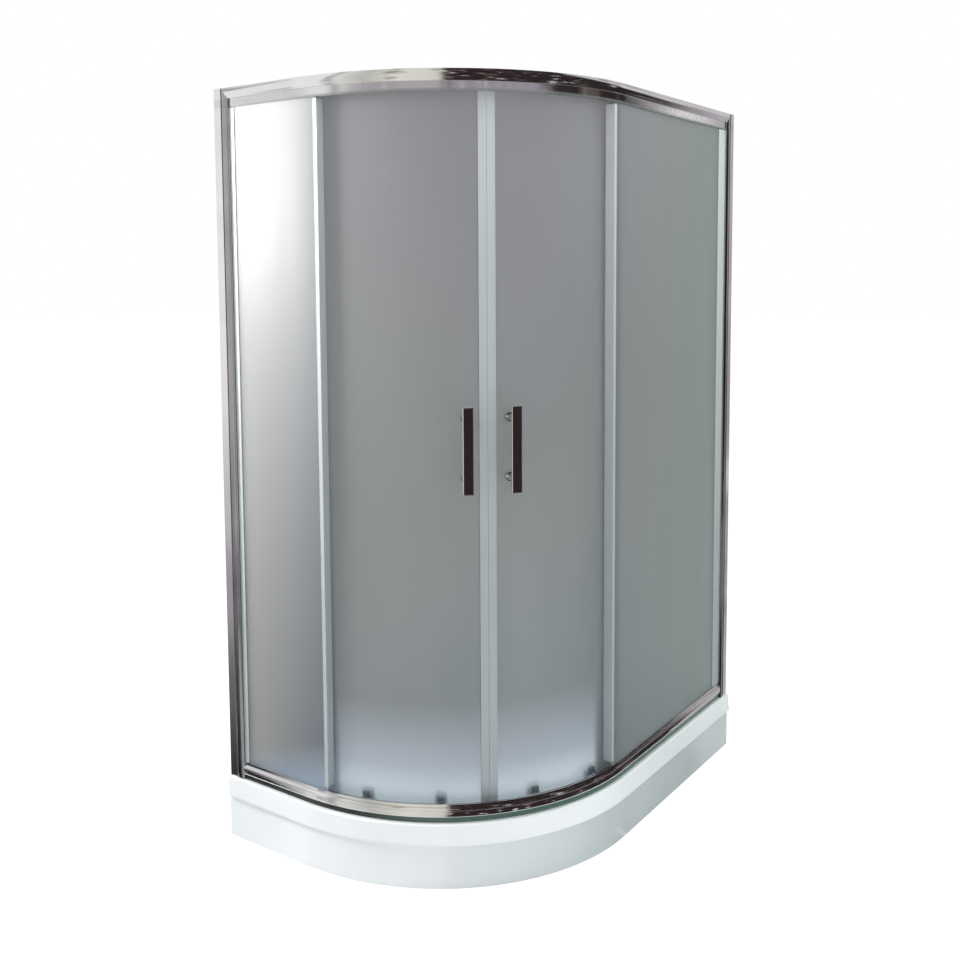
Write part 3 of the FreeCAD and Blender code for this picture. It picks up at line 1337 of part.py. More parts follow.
def rollers(side, at, outer, inner):
    spots = (("front", at("inner_roller")), ("rear", at("outer_roller")))
    top_mounts = []
    bottom_mounts = []
    bolts = []
    caps = []
    wheel_out = f"({FACE_R} - {WHEEL_OUT})"
    wheel_in = f"({wheel_out} - wheel_width)"
    sink = f"({wheel_out} - wheel_sink)"
    mount_out = f"({wheel_in} - mount_gap)"
    cap_end = f"({inner} - cap_rise)"
    body_end = f"({inner} - body_depth)"
    for spot, angle in spots:
        for level, height in (("top", TOP_AXLE), ("bottom", BOTTOM_AXLE)):
            wheel = new_part(f"{side}_{level}_wheel_{spot}")
            bore = "(axle_radius + axle_play)"
            lathe(wheel, [
                (wheel_out, "bolt_head + head_play"),
                (wheel_out, "wheel_radius - wheel_bevel"),
                (f"{wheel_out} - wheel_bevel", "wheel_radius"),
                (f"{wheel_in} + wheel_bevel", "wheel_radius"),
                (wheel_in, "wheel_radius - wheel_bevel"),
                (wheel_in, bore),
                (sink, bore),
                (sink, "bolt_head + head_play"),
            ])
            on_arc(wheel, angle, height)

            end = cap_end if level == "top" else f"({inner} - bolt_reach)"
            bolt = new_body(f"{side}_{level}_bolt_{spot}")
            lathe(bolt, [
                (end, "0"),
                (end, "axle_radius"),
                (f"{sink} + hole_play", "axle_radius"),
                (f"{sink} + hole_play", "bolt_head"),
                (f"{wheel_out} - hole_play", "bolt_head"),
                (f"{wheel_out} - hole_play", "0"),
            ])
            bolts.append(on_arc(bolt, angle, height))

        mount = new_body(f"{side}_top_mount_{spot}")
        lathe(mount, [
            (mount_out, "axle_radius"),
            (mount_out, "mount_radius"),
            (outer, "mount_radius"),
            (outer, "glass_hole - hole_play"),
            (inner, "glass_hole - hole_play"),
            (inner, "axle_radius"),
        ])
        top_mounts.append(on_arc(mount, angle, TOP_AXLE))

        cap = new_body(f"{side}_roller_cap_{spot}")
        lathe(cap, [
            (f"{inner} - glass_bow", "axle_radius"),
            (f"{inner} - glass_bow", "cap_radius"),
            (f"{inner} - cap_rise / 2", "cap_radius"),
            (f"{cap_end} - cap_crown", "cap_radius - cap_bevel"),
            (f"{cap_end} - cap_crown", "0"),
            (cap_end, "0"),
            (cap_end, "axle_radius"),
        ])
        caps.append(on_arc(cap, angle, TOP_AXLE))

        outside = new_body(f"{side}_guide_plate_{spot}")
        face = new_sketch(outside, "YZ_Plane", outer)
        low = "tray_height + track_rise + guide_clear"
        box(face, "-guide_width / 2", low, "guide_width / 2", GUIDE_TOP)
        pad(outside, face, f"{mount_out} - {outer}")
        hole = new_sketch(outside, "YZ_Plane", FACE_R)
        ring(hole, "axle_radius", "0", BOTTOM_AXLE)
        pocket(outside, hole, f"{FACE_R} - {outer} + overrun")
        bottom_mounts.append(on_arc(outside, angle))

        inside = new_body(f"{side}_guide_body_{spot}")
        face = new_sketch(inside, "YZ_Plane", body_end)
        lid = f"{BUTTON_Z} + {BUTTON_BORE} + body_lid"
        box(face, "-body_width / 2", "tray_height + body_bottom", "body_width / 2", lid)
        pad(inside, face, "body_depth - body_bow")
        sleeve = new_sketch(inside, "YZ_Plane", f"{inner} - overrun")
        ring(sleeve, "glass_hole - hole_play", "0", BOTTOM_AXLE)
        pad(inside, sleeve, "door_glass + overrun")
        hole = new_sketch(inside, "YZ_Plane", FACE_R)
        ring(hole, "axle_radius", "0", BOTTOM_AXLE)
        pocket(inside, hole, f"{FACE_R} - {inner} + bolt_reach")
        well = new_sketch(inside, "YZ_Plane", inner)
        ring(well, BUTTON_BORE, "0", BUTTON_Z)
        pocket(inside, well, "body_depth - button_floor")
        bore = new_sketch(inside, "YZ_Plane", inner)
        ring(bore, "button_radius + button_play", "0", BUTTON_Z)
        pocket(inside, bore, "body_depth + overrun")
        bottom_mounts.append(on_arc(inside, angle))

        button = new_part(f"{side}_release_button_{spot}")
        seat = f"({body_end} + button_floor + button_rest)"
        lathe(button, [
            (f"{body_end} - button_proud", "0"),
            (f"{body_end} - button_proud", "button_radius - button_bevel"),
            (f"{body_end} - button_proud + button_bevel", "button_radius"),
            (seat, "button_radius"),
            (seat, COLLAR_R),
            (f"{seat} + collar_sheet", COLLAR_R),
            (f"{seat} + collar_sheet", "0"),
        ])
        on_arc(button, angle, BUTTON_Z)
    group(f"{side}_top_roller_mounts", top_mounts)
    group(f"{side}_bottom_roller_mounts", bottom_mounts)
    group(f"{side}_roller_bolts", bolts)
    group(f"{side}_roller_caps", caps)


shower_tray()
front_panel()
panel_clips()
support_rails()
leg_set()
drain()
for wall_side in ("left", "right"):
    wall_channel(wall_side)
    side_profile(wall_side)
    fixed_panel(wall_side)
frame_screws()
top_rail()
bottom_rail()
glazing_gaskets()
door_stops()
for door_side in ("left", "right"):
    door(door_side)

doc.recompute()
for item in doc.Objects:
    if "Invalid" in item.State or "Error" in item.State:
        raise RuntimeError(f"{item.Label} failed: {item.State}")
for item in parts:
    if item.Shape.isNull() or not item.Shape.isValid():
        raise RuntimeError(f"{item.Label} has no valid shape")
os.makedirs("parts", exist_ok=True)
for item in parts:
    item.Shape.exportStep(f"parts/{item.Label}.step")
print(f"{len(parts)} sub-parts written")
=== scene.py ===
import math

import bpy
from mathutils import Matrix, Vector


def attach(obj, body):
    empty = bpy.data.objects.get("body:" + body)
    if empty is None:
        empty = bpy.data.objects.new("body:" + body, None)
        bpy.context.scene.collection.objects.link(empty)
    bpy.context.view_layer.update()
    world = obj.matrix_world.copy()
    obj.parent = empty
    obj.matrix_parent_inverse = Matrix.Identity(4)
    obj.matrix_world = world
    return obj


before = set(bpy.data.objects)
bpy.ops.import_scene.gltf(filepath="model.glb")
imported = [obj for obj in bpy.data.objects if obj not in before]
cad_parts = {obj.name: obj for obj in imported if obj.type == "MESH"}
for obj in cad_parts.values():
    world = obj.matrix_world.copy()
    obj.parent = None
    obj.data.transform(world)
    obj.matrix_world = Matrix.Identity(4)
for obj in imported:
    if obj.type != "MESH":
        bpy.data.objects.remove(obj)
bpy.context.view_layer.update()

# ---------------------------------------------------------------------------
# Shader sums and the one maker of nodes
# ---------------------------------------------------------------------------


class Value:
    """A node's socket that adds, subtracts and multiplies as a number does."""

    def __init__(self, finish, socket):
        self.finish = finish
        self.socket = socket

    def sum(self, operation, *parts):
        return self.finish.node("ShaderNodeMath", {"operation": operation}, dict(enumerate(parts)))

    def __add__(self, other):
        return self.sum("ADD", self, other)

    __radd__ = __add__

    def __mul__(self, other):
        return self.sum("MULTIPLY", self, other)

    __rmul__ = __mul__

    def __sub__(self, other):
        return self.sum("SUBTRACT", self, other)

    def __rsub__(self, other):
        return self.sum("SUBTRACT", other, self)

    def least(self, other):
        return self.sum("MINIMUM", self, other)

    def most(self, other):
        return self.sum("MAXIMUM", self, other)

    def root(self):
        return self.sum("SQRT", self)


class Finish:
    """The nodes of one material, or of the air around the object."""

    def __init__(self, holder):
        self.holder = holder
        holder.use_nodes = True
        self.tree = holder.node_tree
        self.tree.nodes.clear()
        self.place = self.node("ShaderNodeTexCoord", output="Object")

    def node(self, kind, settings=None, sockets=None, output=0):
        """Adds a node: its settings first, then the values or links of its sockets."""
        made = self.tree.nodes.new(kind)
        for name, value in (settings or {}).items():
            if name == "stops":
                self.set_stops(made.color_ramp, value)
            else:
                setattr(made, name, value)
        for name, value in (sockets or {}).items():
            if isinstance(value, Value):
                self.tree.links.new(value.socket, made.inputs[name])
            else:
                made.inputs[name].default_value = value
        return Value(self, made.outputs[output])

    def set_stops(self, ramp, stops):
        while len(ramp.elements) < len(stops):
            ramp.elements.new(1.0)
        for element, (position, colour) in zip(ramp.elements, stops):
            element.position = position
            element.color = (*colour, 1.0)

    def axis(self, name):
        return self.node("ShaderNodeSeparateXYZ", None, {0: self.place}, output=name)

    def stretched(self, *scale):
        """Object coordinates, scaled along each axis."""
        return self.node("ShaderNodeVectorMath", {"operation": "MULTIPLY"}, {0: self.place, 1: scale})

    def noise(self, scale, detail, roughness, vector=None):
        sockets = {"Vector": vector or self.place, "Scale": scale, "Detail": detail, "Roughness": roughness}
        return self.node("ShaderNodeTexNoise", None, sockets)

    def between(self, value, low, high, at_low, at_high):
        """Maps low..high of a value onto at_low..at_high and stops there."""
        return self.node("ShaderNodeMapRange", None, {0: value, 1: low, 2: high, 3: at_low, 4: at_high})

    def spread(self, noise, at_low, at_high):
        """Maps the middle of a noise, where nearly all of it lies, onto at_low..at_high."""
        return self.between(noise, 0.3, 0.7, at_low, at_high)

    def ramp(self, value, stops):
        """A colour that follows a value through its stops."""
        return self.node("ShaderNodeValToRGB", {"stops": stops}, {0: value})

    def mix(self, mask, first, second):
        """A colour between two colours."""
        first, second = ((*c, 1.0) if isinstance(c, tuple) else c for c in (first, second))
        return self.node("ShaderNodeMix", {"data_type": "RGBA"}, {0: mask, 6: first, 7: second}, output=2)

    def bump(self, height, strength, distance):
        sockets = {"Height": height, "Strength": strength, "Distance": distance}
        return self.node("ShaderNodeBump", None, sockets, output="Normal")

    def surface(self, **sockets):
        """Ends the material in a Principled shader, whose sockets are named in lower case."""
        names = {key.replace("_", " ").title().replace("Ior", "IOR"): value
                 for key, value in sockets.items()}
        self.end(self.node("ShaderNodeBsdfPrincipled", None, names))
        return self.holder

    def end(self, shader):
        of_air = isinstance(self.holder, bpy.types.World)
        made = self.tree.nodes.new("ShaderNodeOutputWorld" if of_air else "ShaderNodeOutputMaterial")
        self.tree.links.new(shader.socket, made.inputs["Surface"])


def new_finish(name):
    return Finish(bpy.data.materials.new(name))


# ---------------------------------------------------------------------------
# Acrylic of the tray and its front panel
# ---------------------------------------------------------------------------

ACRYLIC_CLOUD = (0.84, 0.87, 0.885)


def white_acrylic(name, left, right, turn):
    """Gloss acrylic whose tone goes from one colour to another over a stretch of X: a painted shade, darker
    on one side as the fall of light would make it.
    """
    f = new_finish(name)
    cloud = f.noise(5.0, 4.0, 0.6)
    speck = f.noise(420.0, 2.0, 0.5)
    # painted shade: the tone darkens towards one end of the stretch of X
    colour = f.mix(f.between(f.axis("X"), *turn, 0.0, 1.0), left, right)
    colour = f.mix(f.between(cloud, 0.35, 0.65, 0.0, 0.2), colour, ACRYLIC_CLOUD)
    polish = f.spread(f.noise(28.0, 5.0, 0.65), 0.10, 0.22)
    skin = f.bump(cloud * 0.6 + speck * 0.08, 0.10, 0.0010)
    return f.surface(base_color=colour, roughness=polish, normal=skin, ior=1.49,
                     coat_weight=0.35, coat_roughness=0.06)


# ---------------------------------------------------------------------------
# Polished metal
# ---------------------------------------------------------------------------

ARC_CENTRE = (-0.05, 0.15)        # of the enclosure's round corner
DRAW_LINES = 2600.0               # along the rails, per metre
UPRIGHT_LINES = 1700.0            # along the upright profiles, per metre
LINE_DEPTH = 0.000012
SEAT_TOP = 0.1625                 # the seat under the bottom rail, given painted shade and reflection
SKIRT_FOOT = 1.755                # the lower strip of the top rail
SKIRT_TOP = 1.775
SKIRT_LEAN = 0.008
# painted shade and reflection of the seat: dark teal in the arc, near black by the wall
SEAT_SHADE_IN_ARC = (0.11, 0.18, 0.15)
SEAT_SHADE_BY_WALL = (0.024, 0.030, 0.026)
SEAT_SHADE_TURN = (-0.20, 0.02)         # along Y
# how much of the metal the painted shade of the seat and edge takes away
SHADE_GLOSS_LOSS = 0.85


def ring_coordinates(f, scale):
    """Coordinates that stay the same along a rail: its distance from the arc's centre, and its height."""
    inward_x = (f.axis("X") - ARC_CENTRE[0]).least(0.0)
    inward_y = (f.axis("Y") - ARC_CENTRE[1]).least(0.0)
    reach = (inward_x * inward_x + inward_y * inward_y).root()
    return f.node("ShaderNodeCombineXYZ", None, {"X": reach * scale, "Y": f.axis("Z") * scale, "Z": 0.0})


def polished_profile(name, dark, light, with_painted_shade):
    """Drawn, polished aluminium; the rails' skirt leans, and their seat and lower edge carry painted shade
    and reflection, dark teal to near black.
    """
    f = new_finish(name)
    drawn = f.noise(1.0, 4.0, 0.7, ring_coordinates(f, DRAW_LINES))
    upright = f.noise(1.0, 4.0, 0.7, f.stretched(UPRIGHT_LINES, UPRIGHT_LINES, 3.0))
    cloud = f.noise(7.0, 4.0, 0.6)
    height = f.axis("Z")
    seat = f.between(height, SEAT_TOP, SEAT_TOP + 0.001, 1.0, 0.0)
    edge = f.between(height, SKIRT_FOOT + 0.003, SKIRT_FOOT + 0.006, 0.5, 0.0)
    edge = edge * f.between(height, SKIRT_FOOT - 0.001, SKIRT_FOOT, 0.0, 1.0)
    # painted shade and reflection on the seat and the skirt's lower edge
    painted_shade_mask = seat.most(edge) * with_painted_shade
    colour = f.mix(f.spread(cloud, 0.0, 1.0), dark, light)
    colour = f.mix(f.between(drawn, 0.35, 0.65, 0.0, 0.16), colour, dark)
    seat_shade_tone = f.mix(f.between(f.axis("Y"), *SEAT_SHADE_TURN, 0.0, 1.0), SEAT_SHADE_IN_ARC, SEAT_SHADE_BY_WALL)
    colour = f.mix(painted_shade_mask, colour, seat_shade_tone)
    polish = f.spread(f.noise(60.0, 4.0, 0.6), 0.05, 0.13)
    lean = f.between(height, SKIRT_FOOT, SKIRT_TOP, 0.0, SKIRT_LEAN)
    lines = f.bump(lean + (drawn + upright) * LINE_DEPTH, 1.0, 1.0)
    return f.surface(base_color=colour, metallic=1.0 - painted_shade_mask * SHADE_GLOSS_LOSS, roughness=polish, normal=lines)


def chrome():
    f = new_finish("polished_chrome")
    cloud = f.noise(18.0, 4.0, 0.6)
    colour = f.mix(f.spread(cloud, 0.0, 1.0), (0.66, 0.65, 0.64), (0.76, 0.755, 0.755))
    wipe = f.noise(240.0, 3.0, 0.6, f.stretched(1.0, 1.0, 0.15))
    polish = f.between(wipe, 0.3, 0.75, 0.035, 0.11)
    skin = f.bump(f.noise(90.0, 2.0, 0.5), 0.03, 0.0006)
    return f.surface(base_color=colour, metallic=1.0, roughness=polish, normal=skin)


def zinc_steel():
    f = new_finish("zinc_plated_steel")
    cells = f.node("ShaderNodeTexVoronoi", None, {"Vector": f.place, "Scale": 260.0}, output="Distance")
    cloud = f.noise(35.0, 4.0, 0.6)
    colour = f.mix(f.spread(cloud, 0.0, 1.0), (0.50, 0.50, 0.50), (0.62, 0.625, 0.63))
    colour = f.mix(f.between(cells, 0.2, 0.8, 0.0, 0.25), colour, (0.42, 0.43, 0.45))
    polish = f.between(cloud * 0.6 + cells * 0.4, 0.2, 0.8, 0.26, 0.42)
    return f.surface(base_color=colour, metallic=1.0, roughness=polish, normal=f.bump(cells, 0.06, 0.0004))


# ---------------------------------------------------------------------------
# Frosted glass: its tones by height, by how far it lies from the left wall, and by X, painted light and shade
# ---------------------------------------------------------------------------

HEIGHT = 1.8
# painted light: the glass is lighter and more mauve towards the top
DOOR_TONES = (
    (0.10, (0.30, 0.34, 0.36)),
    (0.30, (0.30, 0.335, 0.345)),
    (0.50, (0.34, 0.355, 0.355)),
    (0.98, (0.42, 0.405, 0.44)),
)
IN_ARC = (0.055, 0.075)           # past the arc's start, both ways: the doors
LEFT_PANEL_END = (0.055, 0.070)   # past the arc's start, along Y
# painted light and shade on the left panel: lighter towards the top and by the wall, dark blue-grey low by
# the seal
LEFT_PANEL_TURN = (-0.17, 0.05)
LEFT_PANEL_RISE = (0.30, 1.40)
WALL_SIDE_TONES = (0.335, 0.33, 0.31), (0.585, 0.585, 0.585)
SEAL_SIDE_TONES = (0.13, 0.15, 0.185), (0.36, 0.365, 0.37)
TRAY_SHINE_SLOPE = 0.3
TRAY_SHINE = (0.20, 0.29)
TRAY_SHINE_TONE = (0.37, 0.47, 0.58)
DOOR_SHADE = (0.05, 0.40)
DOOR_SHADE_TONE = (0.17, 0.18, 0.18)
# painted light: a green cast over the right panel
GREEN_TURN = (-0.10, 0.45)        # along X, over the right panel
GREEN_TONE = (0.35, 0.43, 0.385)
CLOUD_TONE = (0.46, 0.47, 0.49)
WIPED_TONE = (0.27, 0.29, 0.295)
ETCHED_TONE = (0.56, 0.58, 0.585)
FOOT_SHINE = (0.21, 0.41)
FOOT_SHINE_CORE = (0.19, 0.27)
FOOT_TONES = (0.63, 0.69, 0.78), (0.86, 0.94, 1.0)


def frosted_glass():
    f = new_finish("frosted_glass")
    cloud = f.noise(1.6, 3.0, 0.55, f.stretched(1.0, 1.0, 0.7))
    wiped = f.noise(1.0, 4.0, 0.6, f.stretched(24.0, 24.0, 1.2))
    etch = f.noise(1300.0, 2.0, 0.6)
    height = f.axis("Z")
    past_arc = ARC_CENTRE[1] - f.axis("Y")
    in_arc = f.between((ARC_CENTRE[0] - f.axis("X")).least(past_arc), *IN_ARC, 0.0, 1.0)
    # painted light and shade: the left panel's tones by height and by how far it lies from the wall
    rise = f.between(height, *LEFT_PANEL_RISE, 0.0, 1.0)
    by_wall = f.mix(rise, *WALL_SIDE_TONES)
    by_seal = f.mix(rise, *SEAL_SIDE_TONES)
    left_tone = f.mix(f.between(past_arc, *LEFT_PANEL_TURN, 1.0, 0.0), by_seal, by_wall)
    by_tray = f.between(height - past_arc * TRAY_SHINE_SLOPE, *TRAY_SHINE, 1.0, 0.0)
    left_tone = f.mix(by_tray, left_tone, TRAY_SHINE_TONE)
    # painted light: the doors lighter towards the top
    tone = f.ramp(height * (1.0 / HEIGHT), DOOR_TONES)
    tone = f.mix(f.between(past_arc, *LEFT_PANEL_END, 1.0, 0.0), tone, left_tone)
    tone = f.mix(f.between(past_arc, *DOOR_SHADE, 0.55, 0.10) * in_arc, tone, DOOR_SHADE_TONE)
    # painted light: the glass turns greener towards +X
    tone = f.mix(f.between(f.axis("X"), *GREEN_TURN, 0.0, 0.7), tone, GREEN_TONE)
    tone = f.mix(f.spread(cloud, 0.0, 0.18), tone, CLOUD_TONE)
    tone = f.mix(f.between(wiped, 0.35, 0.7, 0.0, 0.10), tone, WIPED_TONE)
    tone = f.mix(f.spread(etch, 0.0, 0.22), tone, ETCHED_TONE)
    foot = f.mix(f.between(height, *FOOT_SHINE_CORE, 1.0, 0.0), *FOOT_TONES)
    tone = f.mix(f.between(height, *FOOT_SHINE, 1.0, 0.0) * in_arc, tone, foot)
    haze = f.spread(wiped * 0.5 + cloud * 0.5, 0.36, 0.50)
    skin = f.bump(etch + wiped * 0.15, 0.22, 0.0003)
    return f.surface(base_color=tone, roughness=haze, normal=skin, ior=1.5, transmission_weight=0.6)


# ---------------------------------------------------------------------------
# Clear seals, moulded plastics and rubber
# ---------------------------------------------------------------------------

# painted light: the seal strips are lighter and whiter towards the top
SEAL_TONES = (
    (0.10, (0.44, 0.49, 0.51)),
    (0.35, (0.49, 0.54, 0.55)),
    (0.55, (0.60, 0.645, 0.65)),
    (0.75, (0.74, 0.78, 0.78)),
    (0.95, (0.92, 0.955, 0.96)),
)
SEAL_CLOUD = (0.60, 0.66, 0.67)


def clear_seal():
    f = new_finish("clear_seal_strip")
    drawn = f.noise(1.0, 3.0, 0.6, f.stretched(1500.0, 1500.0, 4.0))
    cloud = f.noise(9.0, 4.0, 0.6)
    # painted light: the strip's tone by height
    colour = f.mix(f.spread(cloud, 0.0, 0.2), f.ramp(f.axis("Z") * (1.0 / HEIGHT), SEAL_TONES), SEAL_CLOUD)
    polish = f.spread(cloud, 0.28, 0.42)
    lines = f.bump(drawn, 0.12, 0.0004)
    return f.surface(base_color=colour, roughness=polish, normal=lines, ior=1.47, transmission_weight=0.12)


def moulded(name, dark, light, roughness, grain, depth):
    """A moulded plastic or rubber with a fine grain."""
    f = new_finish(name)
    cloud = f.noise(22.0, 4.0, 0.6)
    speck = f.noise(grain, 2.0, 0.5)
    colour = f.mix(f.spread(cloud, 0.0, 1.0), dark, light)
    polish = f.between(cloud * 0.5 + speck * 0.5, 0.35, 0.65, roughness - 0.07, roughness + 0.07)
    return f.surface(base_color=colour, roughness=polish, normal=f.bump(speck, depth, 0.0003), ior=1.5)


# ---------------------------------------------------------------------------
# The finish of every node, by its material slot or, for three kinds of piece, by its name
# ---------------------------------------------------------------------------

# BRIGHT is the aluminium's own colour; SHADED is the same metal painted darker, a painted shade and dark
# reflection
BRIGHT = (0.72, 0.71, 0.705), (0.82, 0.815, 0.82)
SHADED = (0.30, 0.295, 0.30), (0.38, 0.375, 0.38)

finishes = {
    # the tray's acrylic is painted darker on its left: painted shade
    "white_acrylic": white_acrylic(
        "gloss_white_acrylic_painted_shade", (0.85, 0.865, 0.885), (0.97, 0.985, 1.0), (-0.60, -0.46)),
    # the rails carry the painted shade and reflection on their seat and skirt edge
    "polished_profile": polished_profile("polished_rail_painted_shade", *BRIGHT, 1.0),
    "chrome": chrome(),
    "frosted_glass": frosted_glass(),
    "clear_seal": clear_seal(),
    "grey_plastic": moulded("grey_plastic", (0.10, 0.12, 0.14), (0.15, 0.17, 0.19), 0.42, 900.0, 0.10),
    "wheel_plastic": moulded("nylon_wheels", (0.075, 0.085, 0.10), (0.11, 0.125, 0.14), 0.38, 700.0, 0.08),
    "zinc_steel": zinc_steel(),
    "black_rubber": moulded("black_rubber", (0.018, 0.018, 0.018), (0.035, 0.035, 0.034), 0.68, 800.0, 0.18),
    "white_plastic": moulded("white_plastic", (0.78, 0.79, 0.79), (0.86, 0.865, 0.865), 0.36, 650.0, 0.08),
}
own_finishes = {
    # the front panel's acrylic is painted darker towards its right: painted shade
    "front_panel": white_acrylic(
        "panel_acrylic_painted_shade", (0.88, 0.905, 0.92), (0.63, 0.675, 0.695), (-0.54, -0.18)),
    # the side profiles take the darker copy: painted shade
    "side_profile": polished_profile("shaded_profile", *SHADED, 0.0),
    "wall_channel": polished_profile("polished_channel", *BRIGHT, 0.0),
}
for name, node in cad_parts.items():
    own = own_finishes.get(name.removesuffix("_left").removesuffix("_right"))
    for held in node.material_slots:
        held.material = own or finishes[held.material.name]

# ---------------------------------------------------------------------------
# Clear strips on the fixed glass, along the side profiles
# ---------------------------------------------------------------------------

HALF_LENGTH = 0.6                 # of the whole object, along X
HALF_DEPTH = 0.4                  # along Y
GLASS_FACE = 0.0182               # from the object's side to the glass
STRIP_LOW = 0.1925
STRIP_HIGH = 1.7535
STRIP_DEPTH = 0.0018
LEFT_STRIP = (0.341, 0.351)       # along Y
RIGHT_STRIP = (0.511, 0.551)      # along X
LIP_WIDTH = 0.0012
GROOVE_DEPTH = 0.0004


def select_faces(piece, wanted):
    """Leaves the piece in edit mode, with only the wanted faces selected."""
    bpy.ops.object.mode_set(mode="EDIT")
    bpy.ops.mesh.select_mode(type="FACE")
    bpy.ops.mesh.select_all(action="DESELECT")
    bpy.ops.object.mode_set(mode="OBJECT")
    for face in piece.data.polygons:
        face.select = wanted(face)
    bpy.ops.object.mode_set(mode="EDIT")


def glazing_strip(name, low, high):
    """A flat extruded strip with round edges and a shallow groove along its front."""
    bpy.ops.object.select_all(action="DESELECT")
    bpy.ops.mesh.primitive_cube_add(size=1.0)
    strip = bpy.context.object
    strip.name = name
    strip.scale = [b - a for a, b in zip(low, high)]
    strip.location = [(a + b) / 2 for a, b in zip(low, high)]
    bpy.ops.object.transform_apply(location=True, rotation=False, scale=True)
    rounding = strip.modifiers.new("rounding", "BEVEL")
    rounding.width = STRIP_DEPTH * 0.45
    rounding.segments = 3
    bpy.ops.object.modifier_apply(modifier=rounding.name)
    outward = [face.area * -(face.normal.x + face.normal.y) for face in strip.data.polygons]
    front = outward.index(max(outward))
    select_faces(strip, lambda face: face.index == front)
    bpy.ops.mesh.inset(thickness=LIP_WIDTH, depth=-GROOVE_DEPTH)
    bpy.ops.object.mode_set(mode="OBJECT")
    strip.data.materials.append(finishes["clear_seal"])
    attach(strip, "enclosure")


left_glass = -HALF_LENGTH + GLASS_FACE
glazing_strip(
    "glazing_strip_left",
    (left_glass - STRIP_DEPTH, LEFT_STRIP[0], STRIP_LOW),
    (left_glass, LEFT_STRIP[1], STRIP_HIGH))
right_glass = -HALF_DEPTH + GLASS_FACE
glazing_strip(
    "glazing_strip_right",
    (RIGHT_STRIP[0], right_glass - STRIP_DEPTH, STRIP_LOW),
    (RIGHT_STRIP[1], right_glass, STRIP_HIGH))

# ---------------------------------------------------------------------------
# Floor and air
# ---------------------------------------------------------------------------

STUDIO_WIDTH = 60.0
FLOOR_DROP = 0.0005
AIR_LEVEL = 0.60


def seen_directly(f):
    """One for camera, glossy and transmission rays, nought for the light on the object."""
    rays = [f.node("ShaderNodeLightPath", output=name)
            for name in ("Is Camera Ray", "Is Glossy Ray", "Is Transmission Ray")]
    return rays[0].most(rays[1]).most(rays[2])


def grey(level):
    return (level, level, level, 1.0)


def make_floor():
    bpy.ops.mesh.primitive_plane_add(size=STUDIO_WIDTH, location=(0.0, 0.0, -FLOOR_DROP))
    floor = bpy.context.object
    floor.name = "studio_floor"
    f = new_finish("pale_floor")
    shade = f.node("ShaderNodeBsdfDiffuse", None, {"Color": grey(0.80)})
    faint = f.node("ShaderNodeBsdfDiffuse", None, {"Color": grey(0.36)})
    glow = f.node("ShaderNodeEmission", None, {"Strength": 0.83})
    white = f.node("ShaderNodeAddShader", None, {0: faint, 1: glow})
    f.end(f.node("ShaderNodeMixShader", None, {0: seen_directly(f), 1: shade, 2: white}))
    floor.data.materials.append(f.holder)


def make_air():
    world = bpy.data.worlds.new("studio_air")
    bpy.context.scene.world = world
    f = Finish(world)
    soft = f.node("ShaderNodeBackground", None, {"Color": (0.95, 0.98, 1.0, 1.0), "Strength": AIR_LEVEL})
    white = f.node("ShaderNodeBackground", None, {"Color": grey(1.0), "Strength": 1.0})
    f.end(f.node("ShaderNodeMixShader", None, {0: seen_directly(f), 1: soft, 2: white}))


# ---------------------------------------------------------------------------
# A round card wall with its ground, which only glossy rays see
# ---------------------------------------------------------------------------

WALL_RADIUS = 3.6
WALL_HEIGHT = 6.4
WALL_DROP = 0.0002
CARD_POLE = (-0.255, 0.005)       # the cards are laid out by direction from here
CARD_STOPS = (
    (0.34, (0.98, 0.98, 1.0)),
    (0.432, (0.98, 0.98, 1.0)),
    (0.444, (0.42, 0.41, 0.40)),
    (0.456, (0.84, 0.84, 0.81)),
    (0.50, (0.60, 0.60, 0.56)),
    (0.55, (0.88, 0.88, 0.80)),
    (0.604, (0.78, 0.77, 0.69)),
    (0.612, (0.035, 0.022, 0.024)),
    (0.921, (0.030, 0.024, 0.024)),
    (0.929, (0.46, 0.44, 0.47)),
    (0.96, (0.66, 0.64, 0.67)),
)
LEFT_GROUND_TONE = (0.030, 0.032, 0.036)
RIGHT_LOW_TONE = (0.20, 0.195, 0.20)
HORIZON_TONE = (0.42, 0.38, 0.43)
DASH_TONE = (0.96, 0.95, 0.94)
PATCH_TONE = (0.16, 0.13, 0.12)


